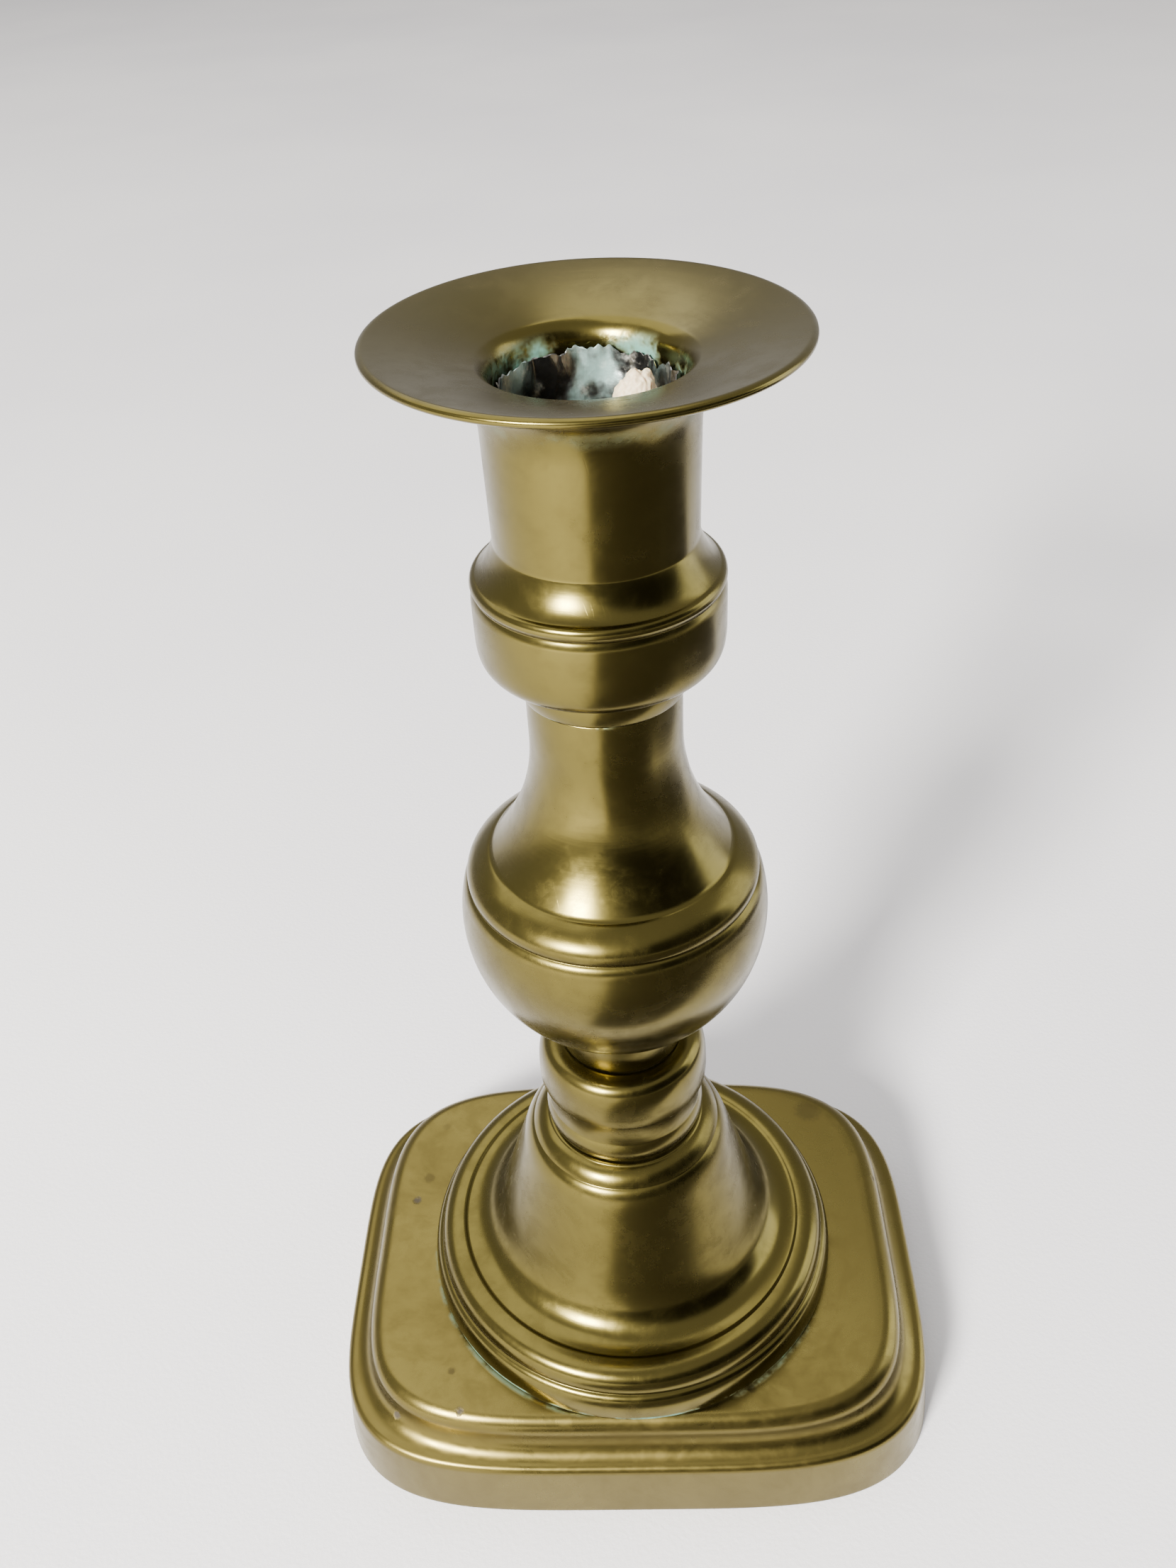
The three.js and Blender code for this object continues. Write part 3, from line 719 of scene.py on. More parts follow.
@dataclass
class Outline:
    """Outline of a turned piece in (radius, height) millimetres, its outer side going up."""

    points: list[Point] = field(default_factory=list)
    corners: set[int] = field(default_factory=set)

    def line(self, radius: float, height: float, soft: bool = True) -> "Outline":
        """Draws a straight stretch.

        Args:
            radius: End of the stretch.
            height: End of the stretch.
            soft: Whether the corner at its end is broken.

        Returns:
            The outline.
        """
        self.points.append((radius, height))
        if soft:
            self.corners.add(len(self.points) - 1)
        return self

    def bend(self, *handles: Point, steps: int = 14) -> "Outline":
        """Draws a Bezier curve through two or three handles; the last is its end.

        Args:
            *handles: The curve's handles, then its end.
            steps: Points along it.

        Returns:
            The outline.
        """
        hull = [Vector(self.points[-1]), *[Vector(handle) for handle in handles]]
        for index in range(1, steps + 1):
            share = index / steps
            level = hull
            while len(level) > 1:
                level = [a.lerp(b, share) for a, b in zip(level, level[1:])]
            self.points.append((level[0].x, level[0].y))
        self.corners.add(len(self.points) - 1)
        return self

    def arc(self, centre: Point, radius: float, start: float, end: float, steps: int = 28) -> "Outline":
        """Draws an arc of a circle.

        Args:
            centre: The circle's centre.
            radius: Its radius.
            start: Angle of the arc's start, in radians.
            end: Angle of its end.
            steps: Points along it.

        Returns:
            The outline.
        """
        for index in range(steps + 1):
            angle = start + (end - start) * index / steps
            self.points.append((centre[0] + radius * math.cos(angle), centre[1] + radius * math.sin(angle)))
        self.corners.add(len(self.points) - 1)
        return self

    def softened(self, cut: float) -> list[Point]:
        """The outline with its marked corners rounded off.

        Args:
            cut: How far each rounding reaches along the two stretches, in millimetres.

        Returns:
            The points.
        """
        result: list[Point] = []
        for index, point in enumerate(self.points):
            inside = 0 < index < len(self.points) - 1
            if index not in self.corners or not inside:
                result.append(point)
                continue
            here = Vector(point)
            before = Vector(self.points[index - 1]) - here
            after = Vector(self.points[index + 1]) - here
            if min(before.length, after.length) < NO_LENGTH:
                continue
            if math.pi - before.angle(after) < FLAT_ANGLE:
                result.append(point)
                continue
            start = here + before.normalized() * min(cut, before.length * 0.45)
            end = here + after.normalized() * min(cut, after.length * 0.45)
            for share in (0.0, 0.25, 0.5, 0.75, 1.0):
                spot = start.lerp(here, share).lerp(here.lerp(end, share), share)
                result.append((spot.x, spot.y))
        return result


def show(mesh: bmesh.types.BMesh, name: str, material: bpy.types.Material) -> bpy.types.Object:
    """Makes an object of a bmesh, smooth except over sharp edges.

    Args:
        mesh: The bmesh, which is freed.
        name: The object's name.
        material: Its material.

    Returns:
        The object.
    """
    for face in mesh.faces:
        face.smooth = True
    for edge in mesh.edges:
        if len(edge.link_faces) == 2 and edge.calc_face_angle(0.0) > SHARP_ANGLE:
            edge.smooth = False
    data = bpy.data.meshes.new(name)
    mesh.to_mesh(data)
    mesh.free()
    data.materials.append(material)
    made = bpy.data.objects.new(name, data)
    bpy.context.scene.collection.objects.link(made)
    return made


def spun(outline: Outline, steps: int = 160, cut: float = BROKEN_EDGE) -> bmesh.types.BMesh:
    """Turns an outline round the Z axis.

    Args:
        outline: The outline, in millimetres.
        steps: Segments round the axis.
        cut: Size of its broken corners.

    Returns:
        The bmesh, in metres.
    """
    mesh = bmesh.new()
    points = outline.softened(cut)
    if math.dist(points[0], points[-1]) < 1e-6:
        points = points[:-1]
    closed = min(point[0] for point in points) > 1e-6
    verts = [mesh.verts.new((radius * MM, 0.0, height * MM)) for radius, height in points]
    pairs = list(zip(verts, verts[1:]))
    if closed:
        pairs.append((verts[-1], verts[0]))
    edges = [mesh.edges.new(pair) for pair in pairs]
    bmesh.ops.spin(
        mesh,
        geom=verts + edges,
        cent=(0, 0, 0),
        axis=(0, 0, 1),
        angle=2 * math.pi,
        steps=steps,
        use_merge=True,
    )
    bmesh.ops.remove_doubles(mesh, verts=mesh.verts, dist=1e-7)
    bmesh.ops.recalc_face_normals(mesh, faces=mesh.faces)
    return mesh


def levels(node: str) -> tuple[float, float]:
    """Bottom and top of a CAD node.

    Args:
        node: The node's name.

    Returns:
        Its two heights, in millimetres.
    """
    low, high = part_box(node)
    return low[2] / MM, high[2] / MM


@dataclass
class Part:
    """A sub-assembly: it builds pieces that ride on one body and stand for CAD nodes."""

    materials: dict[Slot, bpy.types.Material]
    body: Body = Body.STICK

    def place(self, mesh: bmesh.types.BMesh, name: str, node: str, slot: Slot) -> bpy.types.Object:
        """Shows a piece in place of a CAD node.

        Args:
            mesh: The piece.
            name: Its name.
            node: The CAD node that it stands for.
            slot: Its material slot.

        Returns:
            The piece.
        """
        piece = show(mesh, name, self.materials[slot])
        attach(piece, self.body.value)
        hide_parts(node)
        LOG.info("%s: %d faces", name, len(piece.data.polygons))
        return piece


@dataclass
class FootPlate(Part):
    """Oblong foot: an upright band, a cove and a flat top, hollow below."""

    half_width: float = 53.3
    half_depth: float = 41.3
    squareness: float = 4.2
    height: float = 20.0
    band_height: float = 11.3
    band_taper: float = 0.9
    top_inset: float = 5.7
    top_round: float = 3.2
    wall: float = 2.8
    inner_radius: float = 29.8
    hole: float = 7.3
    steps: int = 320

    def edge(self, angle: float) -> float:
        """Distance from the axis to the plate's outer edge.

        Args:
            angle: Direction, in radians.

        Returns:
            The distance, in millimetres.
        """
        across = abs(math.cos(angle)) / self.half_width
        along = abs(math.sin(angle)) / self.half_depth
        return (across**self.squareness + along**self.squareness) ** (-1 / self.squareness)

    def outline(self) -> Outline:
        """The plate's section through the middle of a short side.

        Returns:
            The outline.
        """
        side = self.half_width
        taper = side - self.band_taper
        edge = side - self.top_inset
        centre = self.height - self.top_round
        inner = side - self.wall
        under = self.height - self.wall
        cove = self.band_height + (centre - self.band_height) / 3
        result = Outline()
        result.line(inner, 0.0).line(side - 0.1, 0.0).line(side, 0.3).line(taper, self.band_height - 0.6)
        result.bend((taper - 0.1, self.band_height + 0.9), (taper - 1.7, self.band_height + 1.0), steps=8)
        result.bend((edge, cove), (edge, centre), steps=18)
        result.arc((edge - self.top_round, centre), self.top_round, 0.0, math.pi / 2, steps=12)
        for share in (0.25, 0.5, 0.75):
            result.line(edge + (self.inner_radius - edge) * share, self.height, soft=False)
        result.line(self.inner_radius, self.height, soft=False).line(self.hole, self.height)
        result.line(self.hole, under).line(self.inner_radius, under, soft=False)
        result.line(edge - self.wall - self.top_round, under).line(edge - self.wall, under - self.top_round)
        result.line(inner, self.band_height - self.wall).line(inner, 0.0)
        return result

    def build(self) -> None:
        """Builds the plate."""
        mesh = spun(self.outline(), self.steps, 0.7)
        top_edge = self.half_width - self.top_inset - 3.4
        for vert in mesh.verts:
            radius = math.hypot(vert.co.x, vert.co.y) / MM
            angle = math.atan2(vert.co.y, vert.co.x)
            gathered = angle + 0.12 * math.sin(4 * angle)
            share = min(max((radius - self.inner_radius) / (top_edge - self.inner_radius), 0.0), 1.0)
            reach = radius * (1 + share * (self.edge(gathered) / self.half_width - 1)) * MM
            vert.co.x = reach * math.cos(gathered)
            vert.co.y = reach * math.sin(gathered)
        self.place(mesh, "foot_plate_cast", "foot_plate", Slot.CAST_BRASS)


@dataclass
class BellFoot(Part):
    """Bell foot: bead, roll and wide cove, and the hollow bell above them."""

    radius: float = 36.2
    bead: float = 5.4
    step: float = 1.7
    roll_width: float = 4.7
    roll_height: float = 3.6
    cove_width: float = 5.2
    flare_height: float = 8.7
    shoulder_width: float = 5.0
    shoulder_height: float = 7.0
    top_radius: float = 12.9
    wall: float = 3.0
    hole: float = 7.3

    def build(self) -> None:
        """Builds the bell foot."""
        bottom, top = levels("bell_foot")
        bead_top = bottom + self.bead
        roll_top = bead_top + self.roll_height
        roll_outer = self.radius - self.step
        roll_inner = roll_outer - self.roll_width
        bell = roll_inner - self.cove_width
        shoulder = self.top_radius + self.shoulder_width
        shoulder_foot = top - self.shoulder_height
        groove = roll_top - 0.35
        flare_top = roll_top + self.flare_height
        flare = bell - (bell - shoulder) * (flare_top - groove) / (shoulder_foot - groove)
        ring = self.top_radius + 2.8
        ring_foot = top - 2.7
        result = Outline()
        result.line(bell - self.wall, bottom).line(self.radius - 0.3, bottom).line(self.radius, bottom + 0.4)
        result.bend((self.radius, bead_top - 0.4), (roll_outer + 0.1, bead_top - 0.1))
        result.bend((roll_outer, roll_top + 0.3), (roll_inner + 0.5, roll_top))
        result.line(roll_inner, groove)
        flare_middle = ((bell + flare) / 2, (groove + flare_top) / 2)
        result.bend((bell, groove), flare_middle, (flare, flare_top), steps=24)
        result.line(shoulder, shoulder_foot, soft=False)
        result.bend(((shoulder + ring) / 2 + 0.1, ring_foot - 0.7), (ring, ring_foot))
        result.bend((ring - 0.9, top - 0.8), (self.top_radius + 0.2, top - 0.3))
        result.line(self.top_radius, top - 0.1).line(self.top_radius - 0.6, top).line(self.hole, top)
        result.line(self.hole, top - 4.0).line(self.top_radius, top - 4.0)
        result.line(shoulder - self.wall, shoulder_foot - 0.5).line(bell - self.wall, roll_top)
        result.line(bell - self.wall, bottom)
        self.place(spun(result, 220, 0.4), "bell_foot_turned", "bell_foot", Slot.WORN_BRASS)


@dataclass
class Knop(Part):
    """Domed button moulding on a hollowed collar."""

    collar_radius: float = 12.9
    collar_height: float = 9.3
    radius: float = 13.75
    edge_height: float = 1.7
    waist: float = 9.8
    hole: float = 7.3

    def build(self) -> None:
        """Builds the knop."""
        bottom, top = levels("knop")
        edge = bottom + self.collar_height
        dome = edge + self.edge_height
        bead = bottom + 4.3
        hollow = self.collar_radius - 0.3
        crown = self.waist + 0.86 * (self.radius - self.waist)
        result = Outline()
        result.line(self.hole, bottom).line(self.collar_radius - 0.4, bottom)
        result.bend((self.collar_radius + 0.7, (bottom + bead) / 2), (hollow, bead))
        result.bend((hollow - 0.3, (bead + edge) / 2), (hollow + 0.1, edge - 0.3))
        result.line(self.radius - 0.45, edge - 0.1).line(self.radius - 0.1, edge + 0.4)
        result.line(self.radius, dome, soft=False)
        result.bend((self.radius, dome + 0.76 * (top - dome)), (crown, top), (self.waist, top), steps=26)
        result.line(self.hole, top).line(self.hole, bottom)
        self.place(spun(result, 160), "knop_turned", "knop", Slot.WORN_BRASS)


@dataclass
class Baluster(Part):
    """Ball with a raised band, on a hollow tenon, with a flared shoulder and a neck."""

    tenon: float = 7.0
    tenon_bore: float = 5.3
    waist: float = 9.8
    waist_length: float = 7.1
    ball: float = 22.8
    band_rise: float = 6.9
    band_height: float = 4.8
    band_top: float = 18.1
    band_step: float = 0.5
    neck: float = 10.55
    flare: float = 31.0
    recess: float = 6.3
    rod_hole: float = 2.3
    stop: float = 35.3

    def build(self) -> None:
        """Builds the baluster."""
        bottom, top = levels("baluster")
        waist_foot = levels("knop")[1] + SEAT_GAP
        drop = math.sqrt(self.ball**2 - self.waist**2)
        centre = waist_foot + self.waist_length + drop
        band_foot = centre + self.band_rise
        band_head = band_foot + self.band_height
        low = math.asin(drop / self.ball)
        high = math.asin(self.band_rise / self.ball)
        outer = self.ball * math.cos(high) - self.band_step
        shoulder = self.band_top - self.band_step
        width = shoulder - self.neck
        rise = math.sqrt(2 * self.flare * width - width**2)
        turn = math.asin(rise / self.flare)
        core = self.ball - 4.4
        result = Outline()
        result.line(self.tenon_bore, bottom).line(self.tenon, bottom).line(self.tenon, waist_foot)
        result.line(self.waist, waist_foot).line(self.waist, waist_foot + self.waist_length)
        edge = self.ball * math.cos(high - 0.09)
        result.arc((0.0, centre), self.ball, -low, high - 0.09, steps=56)
        result.bend((edge - 0.25, band_foot - 0.4), (outer, band_foot + 0.1), steps=10)
        result.bend((outer + 0.9, (band_foot + band_head) / 2), (self.band_top, band_head - 0.15))
        result.line(shoulder, band_head)
        result.arc((self.neck + self.flare, band_head + rise), self.flare, math.pi + turn, math.pi, steps=30)
        result.line(self.neck, top).line(self.recess, top).line(self.recess, top - 12.3)
        result.line(self.rod_hole, top - 12.3).line(self.rod_hole, top - 16.7)
        result.bend((core / 2, top - 17.2), (core * 0.7, band_head - 2.2))
        result.bend((core, centre + 4.4), (core, centre))
        result.bend((core, centre - drop + 4.9), (self.rod_hole, centre - drop + 4.4))
        result.line(self.rod_hole, self.stop).line(self.tenon_bore, self.stop).line(self.tenon_bore, bottom)
        self.place(spun(result, 220, 0.35), "baluster_turned", "baluster", Slot.WORN_BRASS)


@dataclass
class CandleSocket(Part):
    """Collar, cup, tube and drip pan in one turning."""

    tenon: float = 6.0
    tenon_length: float = 12.0
    rod_hole: float = 2.3
    collar: float = 11.5
    collar_height: float = 4.4
    cup: float = 16.3
    cup_round: float = 6.1
    cup_band: float = 5.5
    lip: float = 1.4
    ledge: float = 4.5
    tube: float = 12.9
    taper: float = 0.25
    tube_length: float = 14.0
    pan: float = 26.0
    pan_fall: float = 3.7
    pan_thickness: float = 1.2
    mouth: float = 12.5
    bore: float = 11.4
    bore_depth: float = 38.6

    def build(self) -> None:
        """Builds the socket."""
        bottom, rim = levels("candle_socket")
        base = bottom + self.tenon_length
        cup_foot = base + self.collar_height
        cup_side = cup_foot + self.cup_round
        cup_lip = cup_side + self.cup_band
        ledge_foot = cup_lip + self.lip
        tube_foot = ledge_foot + self.ledge
        tube_top = tube_foot + self.tube_length
        edge = rim - self.pan_fall
        under = edge - self.pan_thickness
        rim_under = rim - self.pan_thickness
        middle = (self.pan + self.mouth) / 2
        wide = self.tube + self.taper
        floor = rim - self.bore_depth
        result = Outline()
        result.line(self.rod_hole, bottom).line(self.tenon, bottom).line(self.tenon, base)
        result.line(self.collar - 0.4, base)
        result.bend((self.collar + 0.4, base + self.collar_height / 2), (self.collar - 0.2, cup_foot - 0.2))
        cup_corner = (self.cup, cup_foot + self.cup_round / 4)
        result.bend((self.cup, cup_foot), cup_corner, (self.cup, cup_side), steps=18)
        result.line(self.cup, cup_lip - 1.7, soft=False)
        result.bend((self.cup - 0.1, cup_lip - 1.0), (self.cup - 0.4, cup_lip - 0.5), steps=6)
        result.bend((self.cup - 0.1, cup_lip), (self.cup, cup_lip + 0.3), steps=6)
        result.bend((self.cup, ledge_foot - 0.1), (self.cup - 0.8, ledge_foot + 0.1), steps=8)
        result.bend((self.tube + 0.9, ledge_foot + 1.5), (self.tube, tube_foot), steps=16)
        result.line(wide, tube_top, soft=False)
        result.bend((wide, under), (middle, (under + rim_under) / 2), steps=18)
        result.line(self.pan - 0.5, rim_under).line(self.pan, rim_under + 0.35)
        result.line(self.pan - 0.05, rim - 0.3).line(self.pan - 0.6, rim)
        result.bend((middle, rim - self.pan_fall / 3), (self.mouth + 0.5, edge + 0.5), steps=20)
        result.bend((self.bore, edge - 0.5), (self.bore, edge - 2.6), steps=12)
        result.line(self.bore, floor).line(self.rod_hole, floor).line(self.rod_hole, bottom)
        self.place(spun(result, 220, 0.35), "candle_socket_turned", "candle_socket", Slot.WORN_BRASS)


@dataclass
class Clamp(Part):
    """Washer and six-sided nut that hold the stack together."""

    hole: float = 7.3
    washer: float = 13.0
    flats: float = 20.0

    def build(self) -> None:
        """Builds the washer and the nut."""
        low, high = levels("tenon_washer")
        ring = Outline()
        ring.line(self.hole, low).line(self.washer, low).line(self.washer, high)
        ring.line(self.hole, high).line(self.hole, low)
        self.place(spun(ring, 96), "tenon_washer_turned", "tenon_washer", Slot.PLAIN_BRASS)
        self.nut()

    def nut(self) -> None:
        """Builds the nut: a hexagon and its hole, bridged, drawn up and with its edges broken."""
        low, high = levels("tenon_nut")
        mesh = bmesh.new()
        corner = self.flats / 2 / math.cos(math.pi / 6) * MM
        outer = bmesh.ops.create_circle(mesh, segments=6, radius=corner, cap_ends=False)["verts"]
        bmesh.ops.rotate(mesh, verts=outer, matrix=Euler((0, 0, math.pi / 6)).to_matrix())
        ring = [edge for edge in mesh.edges]
        bmesh.ops.subdivide_edges(mesh, edges=ring, cuts=7)
        rim = list(mesh.edges)
        turned = min(math.atan2(vert.co.y, vert.co.x) for vert in mesh.verts)
        inner = bmesh.ops.create_circle(mesh, segments=48, radius=self.hole * MM, cap_ends=False)["verts"]
        bmesh.ops.rotate(mesh, verts=inner, matrix=Euler((0, 0, turned)).to_matrix())
        hole = [edge for edge in mesh.edges if edge not in rim]
        bmesh.ops.bridge_loops(mesh, edges=rim + hole)
        bmesh.ops.translate(mesh, verts=mesh.verts, vec=(0, 0, low * MM))
        drawn = bmesh.ops.extrude_face_region(mesh, geom=mesh.faces[:])["geom"]
        moved = [item for item in drawn if isinstance(item, bmesh.types.BMVert)]
        bmesh.ops.translate(mesh, verts=moved, vec=(0, 0, (high - low) * MM))
        bmesh.ops.recalc_face_normals(mesh, faces=mesh.faces)
        sharp = [edge for edge in mesh.edges if edge.calc_face_angle(0.0) > math.radians(40)]
        bmesh.ops.bevel(mesh, geom=sharp, offset=0.0003, segments=2, profile=0.5, affect="EDGES", material=-1)
        self.place(mesh, "tenon_nut_cut", "tenon_nut", Slot.PLAIN_BRASS)


@dataclass
class Ejector(Part):
    """Push rod with its collar, candle seat and button."""

    body: Body = Body.EJECTOR
    rod: float = 1.9
    head: float = 3.4
    head_height: float = 1.1
    collar: float = 4.0
    seat: float = 11.0
    seat_lip: float = 0.8
    button: float = 4.9

    def build(self) -> None:
        """Builds the ejector's metal pieces."""
        fit = self.rod + SEAT_GAP
        low, high = levels("push_rod")
        head = high - self.head_height
        rod = Outline()
        rod.line(0.0, low, soft=False).line(self.rod, low).line(self.rod, head).line(self.head, head)
        rod.bend((self.head, high), (0.0, high))
        self.place(spun(rod, 64, 0.15), "push_rod_wire", "push_rod", Slot.IRON)
        low, high = levels("rod_collar")
        collar = Outline()
        collar.line(fit, low).line(self.collar, low).line(self.collar, high).line(fit, high).line(fit, low)
        self.place(spun(collar, 64, 0.35), "rod_collar_turned", "rod_collar", Slot.PLAIN_BRASS)
        low, high = levels("candle_seat")
        flat = high - self.seat_lip
        seat = Outline()
        seat.line(fit, low).line(self.seat, low).line(self.seat, high).line(self.seat - 0.8, high)
        seat.line(self.seat - 1.6, flat).line(fit, flat).line(fit, low)
        self.place(spun(seat, 128), "candle_seat_turned", "candle_seat", Slot.PLAIN_BRASS)
        low, high = levels("push_button")
        end = (low + high) / 2 - SEAT_GAP
        button = Outline()
        button.line(0.0, low, soft=False).line(self.button - 1.0, low)
        button.bend((self.button, low), (self.button, low + 1.0)).line(self.button, high)
        button.line(fit, high).line(fit, end).line(0.0, end, soft=False)
        self.place(spun(button, 96, 0.3), "push_button_turned", "push_button", Slot.PLAIN_BRASS)


@dataclass
class OldCandle(Part):
    """What the last candle left: a foil sleeve, a pool and a lump of wax."""

    body: Body = Body.EJECTOR
    foil: float = 10.55
    foil_wall: float = 0.12
    crumple: float = 0.75
    tear: float = 2.2
    pool: float = 9.5
    lump: float = 3.1
    lump_angle: float = math.radians(32)

    def build(self) -> None:
        """Builds the three pieces."""
        self.sleeve()
        self.wax_pool()
        self.wax_lump()

    def sleeve(self) -> None:
        """Builds the crumpled foil."""
        low, high = levels("foil_sleeve")
        top = high - 1.2
        rows = 56
        result = Outline()
        for row in range(rows + 1):
            result.line(self.foil + self.foil_wall, low + (top - low) * row / rows, soft=False)
        for row in range(rows + 1):
            result.line(self.foil, top - (top - low) * row / rows, soft=False)
        mesh = spun(result, 240)
        for vert in mesh.verts:
            place = vert.co / MM
            share = (place.z - low) / (top - low)
            spot = Vector((place.x * 0.26, place.y * 0.26, place.z * 0.1))
            fold = abs(noise.noise(spot)) * 1.9 + 0.3 * abs(noise.noise(spot * 3.1)) - 0.3
            radius = math.hypot(place.x, place.y)
            reach = min(radius - self.crumple * fold, 10.9)
            ragged = noise.noise(Vector((place.x * 0.3, place.y * 0.3, 4.0)))
            fray = noise.noise(Vector((place.x * 1.4, place.y * 1.4, 9.0)))
            height = place.z + share**3 * (self.tear * ragged + 0.6 * fray - 0.9)
            vert.co.x *= reach / radius
            vert.co.y *= reach / radius
            vert.co.z = min(height, high) * MM
        self.place(mesh, "foil_sleeve_creased", "foil_sleeve", Slot.FOIL)

    def wax_pool(self) -> None:
        """Builds the pool of wax."""
        low, high = levels("wax_pool")
        result = Outline()
        result.line(0.0, low, soft=False).line(self.pool - 1.6, low).line(self.pool, low + 0.9)
        result.bend((self.pool, high), (self.pool - 1.6, high - 0.4))
        result.bend((self.pool / 2, high - 0.9), (0.0, high - 0.9), steps=24)
        mesh = spun(result, 128)
        for vert in mesh.verts:
            ripple = noise.noise(vert.co * 330)
            if vert.co.z > (low + 1.0) * MM:
                vert.co.z += ripple * 0.0004
        self.place(mesh, "wax_pool_set", "wax_pool", Slot.WAX)

    def wax_lump(self) -> None:
        """Builds the lump of wax."""
        low, high = levels("wax_lump")
        mesh = bmesh.new()
        bmesh.ops.create_icosphere(mesh, subdivisions=6, radius=1.0)
        reach = 6.6
        across = reach * math.cos(self.lump_angle)
        along = reach * math.sin(self.lump_angle)
        middle = Vector((across, along, (low + high) / 2))
        half = (high - low) / 2
        for vert in mesh.verts:
            spot = vert.co.copy()
            swell = 0.88 + 0.16 * noise.noise(spot * 1.7) + 0.06 * noise.noise(spot * 6.0)
            swell = min(swell, 1.0)
            vert.co = Vector((spot.x * self.lump, spot.y * self.lump, spot.z * half)) * swell
            vert.co = (vert.co + middle) * MM
        self.place(mesh, "wax_lump_clinging", "wax_lump", Slot.WAX)


# ---------------------------------------------------------------------------
# Studio
# ---------------------------------------------------------------------------


@dataclass(frozen=True)
class AreaLamp:
    """A soft rectangular light."""

    name: str
    place: tuple[float, float, float]
    size: tuple[float, float]
    power: float
    colour: tuple[float, float, float] = (1.0, 1.0, 1.0)
    target: tuple[float, float, float] = (0.0, 0.0, 0.1)

    def build(self) -> None:
        """Adds the lamp to the scene."""
        data = bpy.data.lights.new(self.name, "AREA")
        data.shape = "RECTANGLE"
        data.size, data.size_y = self.size
        data.energy = self.power
        data.color = self.colour
        lamp = bpy.data.objects.new(self.name, data)
        lamp.location = self.place
        aim = Vector(self.target) - Vector(self.place)
        lamp.rotation_euler = aim.to_track_quat("-Z", "Y").to_euler()
        bpy.context.scene.collection.objects.link(lamp)


@dataclass
class Studio:
    """Cloth floor, dark cards that the brass mirrors, lamps, sky and camera."""

    effects: Effects
    floor_size: float = 8.0
    lens: float = 31.85
    camera_place: tuple[float, float, float] = (0.00495, -0.15467, 0.24448)
    camera_turn: tuple[float, float, float] = (52.538, 2.844, 0.736)

    def lamps(self) -> None:
        """Adds the lamps."""
        AreaLamp("key", (-0.55, -0.90, 0.68), (0.26, 0.26), 80.0, (1.0, 0.97, 0.92)).build()
        AreaLamp("sky_panel", (-0.5, 0.5, 1.6), (1.8, 1.8), 26.0, (1.0, 0.98, 0.95)).build()
        AreaLamp("right_strip", (0.95, 0.25, 0.35), (0.5, 0.8), 5.0, (0.95, 0.97, 1.0)).build()

    def sky(self) -> None:
        """Surrounds the scene with a soft light that is darker towards the front right."""
        world = bpy.data.worlds.new("soft_room")
        bpy.context.scene.world = world
        world.use_nodes = True
        graph = Graph(world.node_tree)
        back = world.node_tree.nodes["Background"]
        view = graph.add("TexCoord").outputs["Generated"]
        raised = graph.add("VectorMath", {0: view, 1: (1.0, 1.0, 2.4)}, operation="MULTIPLY").outputs[0]
        turned = graph.add("VectorMath", {0: raised}, operation="NORMALIZE").outputs[0]
        dark = Vector((0.766, -0.643, 0.0))
        facing = graph.add("VectorMath", {0: turned, 1: tuple(dark)}, operation="DOT_PRODUCT")
        lobe = graph.step(facing.outputs["Value"], 0.34, 0.52)
        colour = graph.mix(lobe, (0.68, 0.66, 0.64, 1.0), (0.028, 0.026, 0.024, 1.0))
        graph.feed(back.inputs["Color"], colour)
        graph.feed(back.inputs["Strength"], 1.05)

    def ground(self, material: bpy.types.Material) -> None:
        """Lays the cloth.

        Args:
            material: The cloth's material.
        """
        mesh = bmesh.new()
        bmesh.ops.create_grid(mesh, x_segments=8, y_segments=8, size=self.floor_size / 2)
        show(mesh, "cloth", material)

    def cards(self) -> None:
        """Lays dark cards on the cloth, out of view, for the brass to mirror."""
        material = bpy.data.materials.new("dark_card")
        material.use_nodes = True
        graph = Graph(material.node_tree)
        shader = material.node_tree.nodes["Principled BSDF"]
        felt = graph.step(graph.noise(graph.place(), 300.0, 3.0), 0.3, 0.7)
        colour = graph.mix(felt, (0.02, 0.018, 0.016, 1.0), (0.035, 0.03, 0.027, 1.0))
        graph.feed(shader.inputs["Base Color"], colour)
        graph.feed(shader.inputs["Roughness"], 0.9)
        for name, low, high in (
            ("front_card", (-0.03, -0.95), (0.75, -0.068)),
            ("side_card", (0.20, -0.066), (0.75, 0.14)),
        ):
            mesh = bmesh.new()
            bmesh.ops.create_grid(mesh, x_segments=2, y_segments=2, size=0.5)
            bmesh.ops.scale(mesh, verts=mesh.verts, vec=(high[0] - low[0], high[1] - low[1], 1.0))
            middle = ((low[0] + high[0]) / 2, (low[1] + high[1]) / 2, 0.002)
            bmesh.ops.translate(mesh, verts=mesh.verts, vec=middle)
            show(mesh, name, material)

    def camera(self) -> None:
        """Sets the camera."""
        data = bpy.data.cameras.new("camera")
        data.lens = self.lens
        data.sensor_width = 36.0
        data.clip_start = 0.005
        camera = bpy.data.objects.new("camera", data)
        camera.location = self.camera_place
        camera.rotation_euler = tuple(math.radians(angle) for angle in self.camera_turn)
        bpy.context.scene.collection.objects.link(camera)
        bpy.context.scene.camera = camera

    def build(self) -> None:
        """Builds the whole studio."""
        self.ground(Cloth().material(self.effects))
        self.cards()
        self.lamps()
        self.sky()
        self.camera()


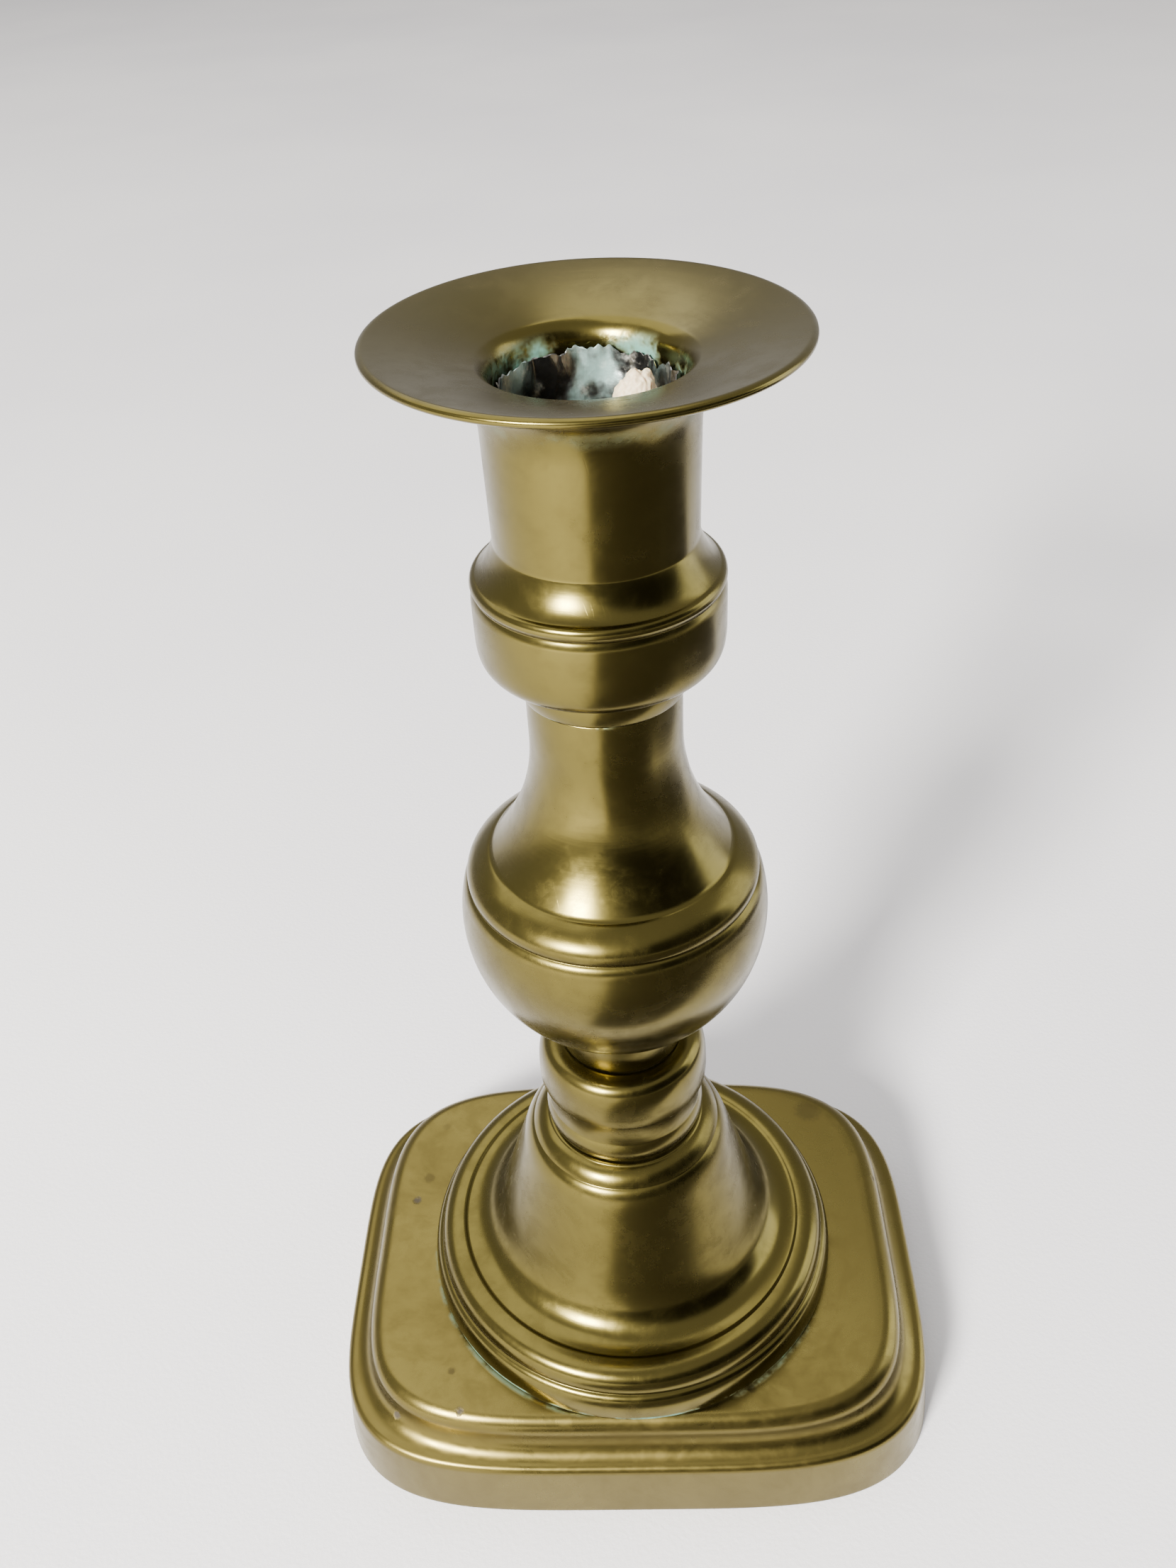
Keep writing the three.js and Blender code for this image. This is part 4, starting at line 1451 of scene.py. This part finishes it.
@dataclass
class Candlestick:
    """The whole object."""

    effects: Effects

    def finishes(self) -> dict[Slot, bpy.types.Material]:
        """Makes the materials.

        Returns:
            Material slot to material.
        """
        foot_seam = Rings(0.0363, 0.0206, 0.0009)
        mouth = Rings(0.0116, 0.1838, 0.0030)
        cup_seam = Rings(0.0107, 0.1432, 0.0008)
        worn = Brass("turned_brass", seams=(foot_seam, mouth, cup_seam))
        cast = Brass(
            "cast_brass",
            bright=(0.140, 0.113, 0.032, 1.0),
            dull=(0.112, 0.088, 0.025, 1.0),
            roughness=0.25,
            amount=0.45,
            line_depth=0.0,
            pit_share=0.03,
            anisotropy=0.0,
            seams=(foot_seam,),
            stains=(
                Stain((-39.4, 13.3, 20.0), 1.5, 0.4),
                Stain((-37.1, 25.8, 20.0), 1.1, 0.25),
                Stain((-31.4, -26.8, 20.0), 0.9, 0.6),
                Stain((-27.6, -41.0, 9.8), 0.8, 0.75),
                Stain((19.9, -30.8, 20.0), 0.9, 0.5),
                Stain((35.8, 27.8, 20.0), 3.4, 0.35),
            ),
        )
        plain = Brass(
            "plain_brass",
            bright=(0.20, 0.15, 0.055, 1.0),
            dull=(0.12, 0.085, 0.032, 1.0),
            roughness=0.38,
            amount=0.6,
            line_depth=0.12,
            line_scale=2400.0,
            anisotropy=0.2,
        )
        return {
            Slot.WORN_BRASS: worn.material(self.effects),
            Slot.CAST_BRASS: cast.material(self.effects),
            Slot.PLAIN_BRASS: plain.material(self.effects),
            Slot.IRON: Iron().material(self.effects),
            Slot.FOIL: Foil().material(self.effects),
            Slot.WAX: Wax().material(self.effects),
        }

    def build(self) -> None:
        """Builds every sub-assembly."""
        materials = self.finishes()
        for kind in (FootPlate, BellFoot, Knop, Baluster, CandleSocket, Clamp, Ejector, OldCandle):
            kind(materials).build()


def main() -> None:
    """Builds the scene."""
    logging.basicConfig(level=logging.INFO, format="%(name)s: %(message)s")
    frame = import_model()
    LOG.info("nodes: %s", ", ".join(sorted(frame["nodes"])))
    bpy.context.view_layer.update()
    effects = Effects()
    Candlestick(effects).build()
    Studio(effects).build()


if __name__ == "__main__":
    main()
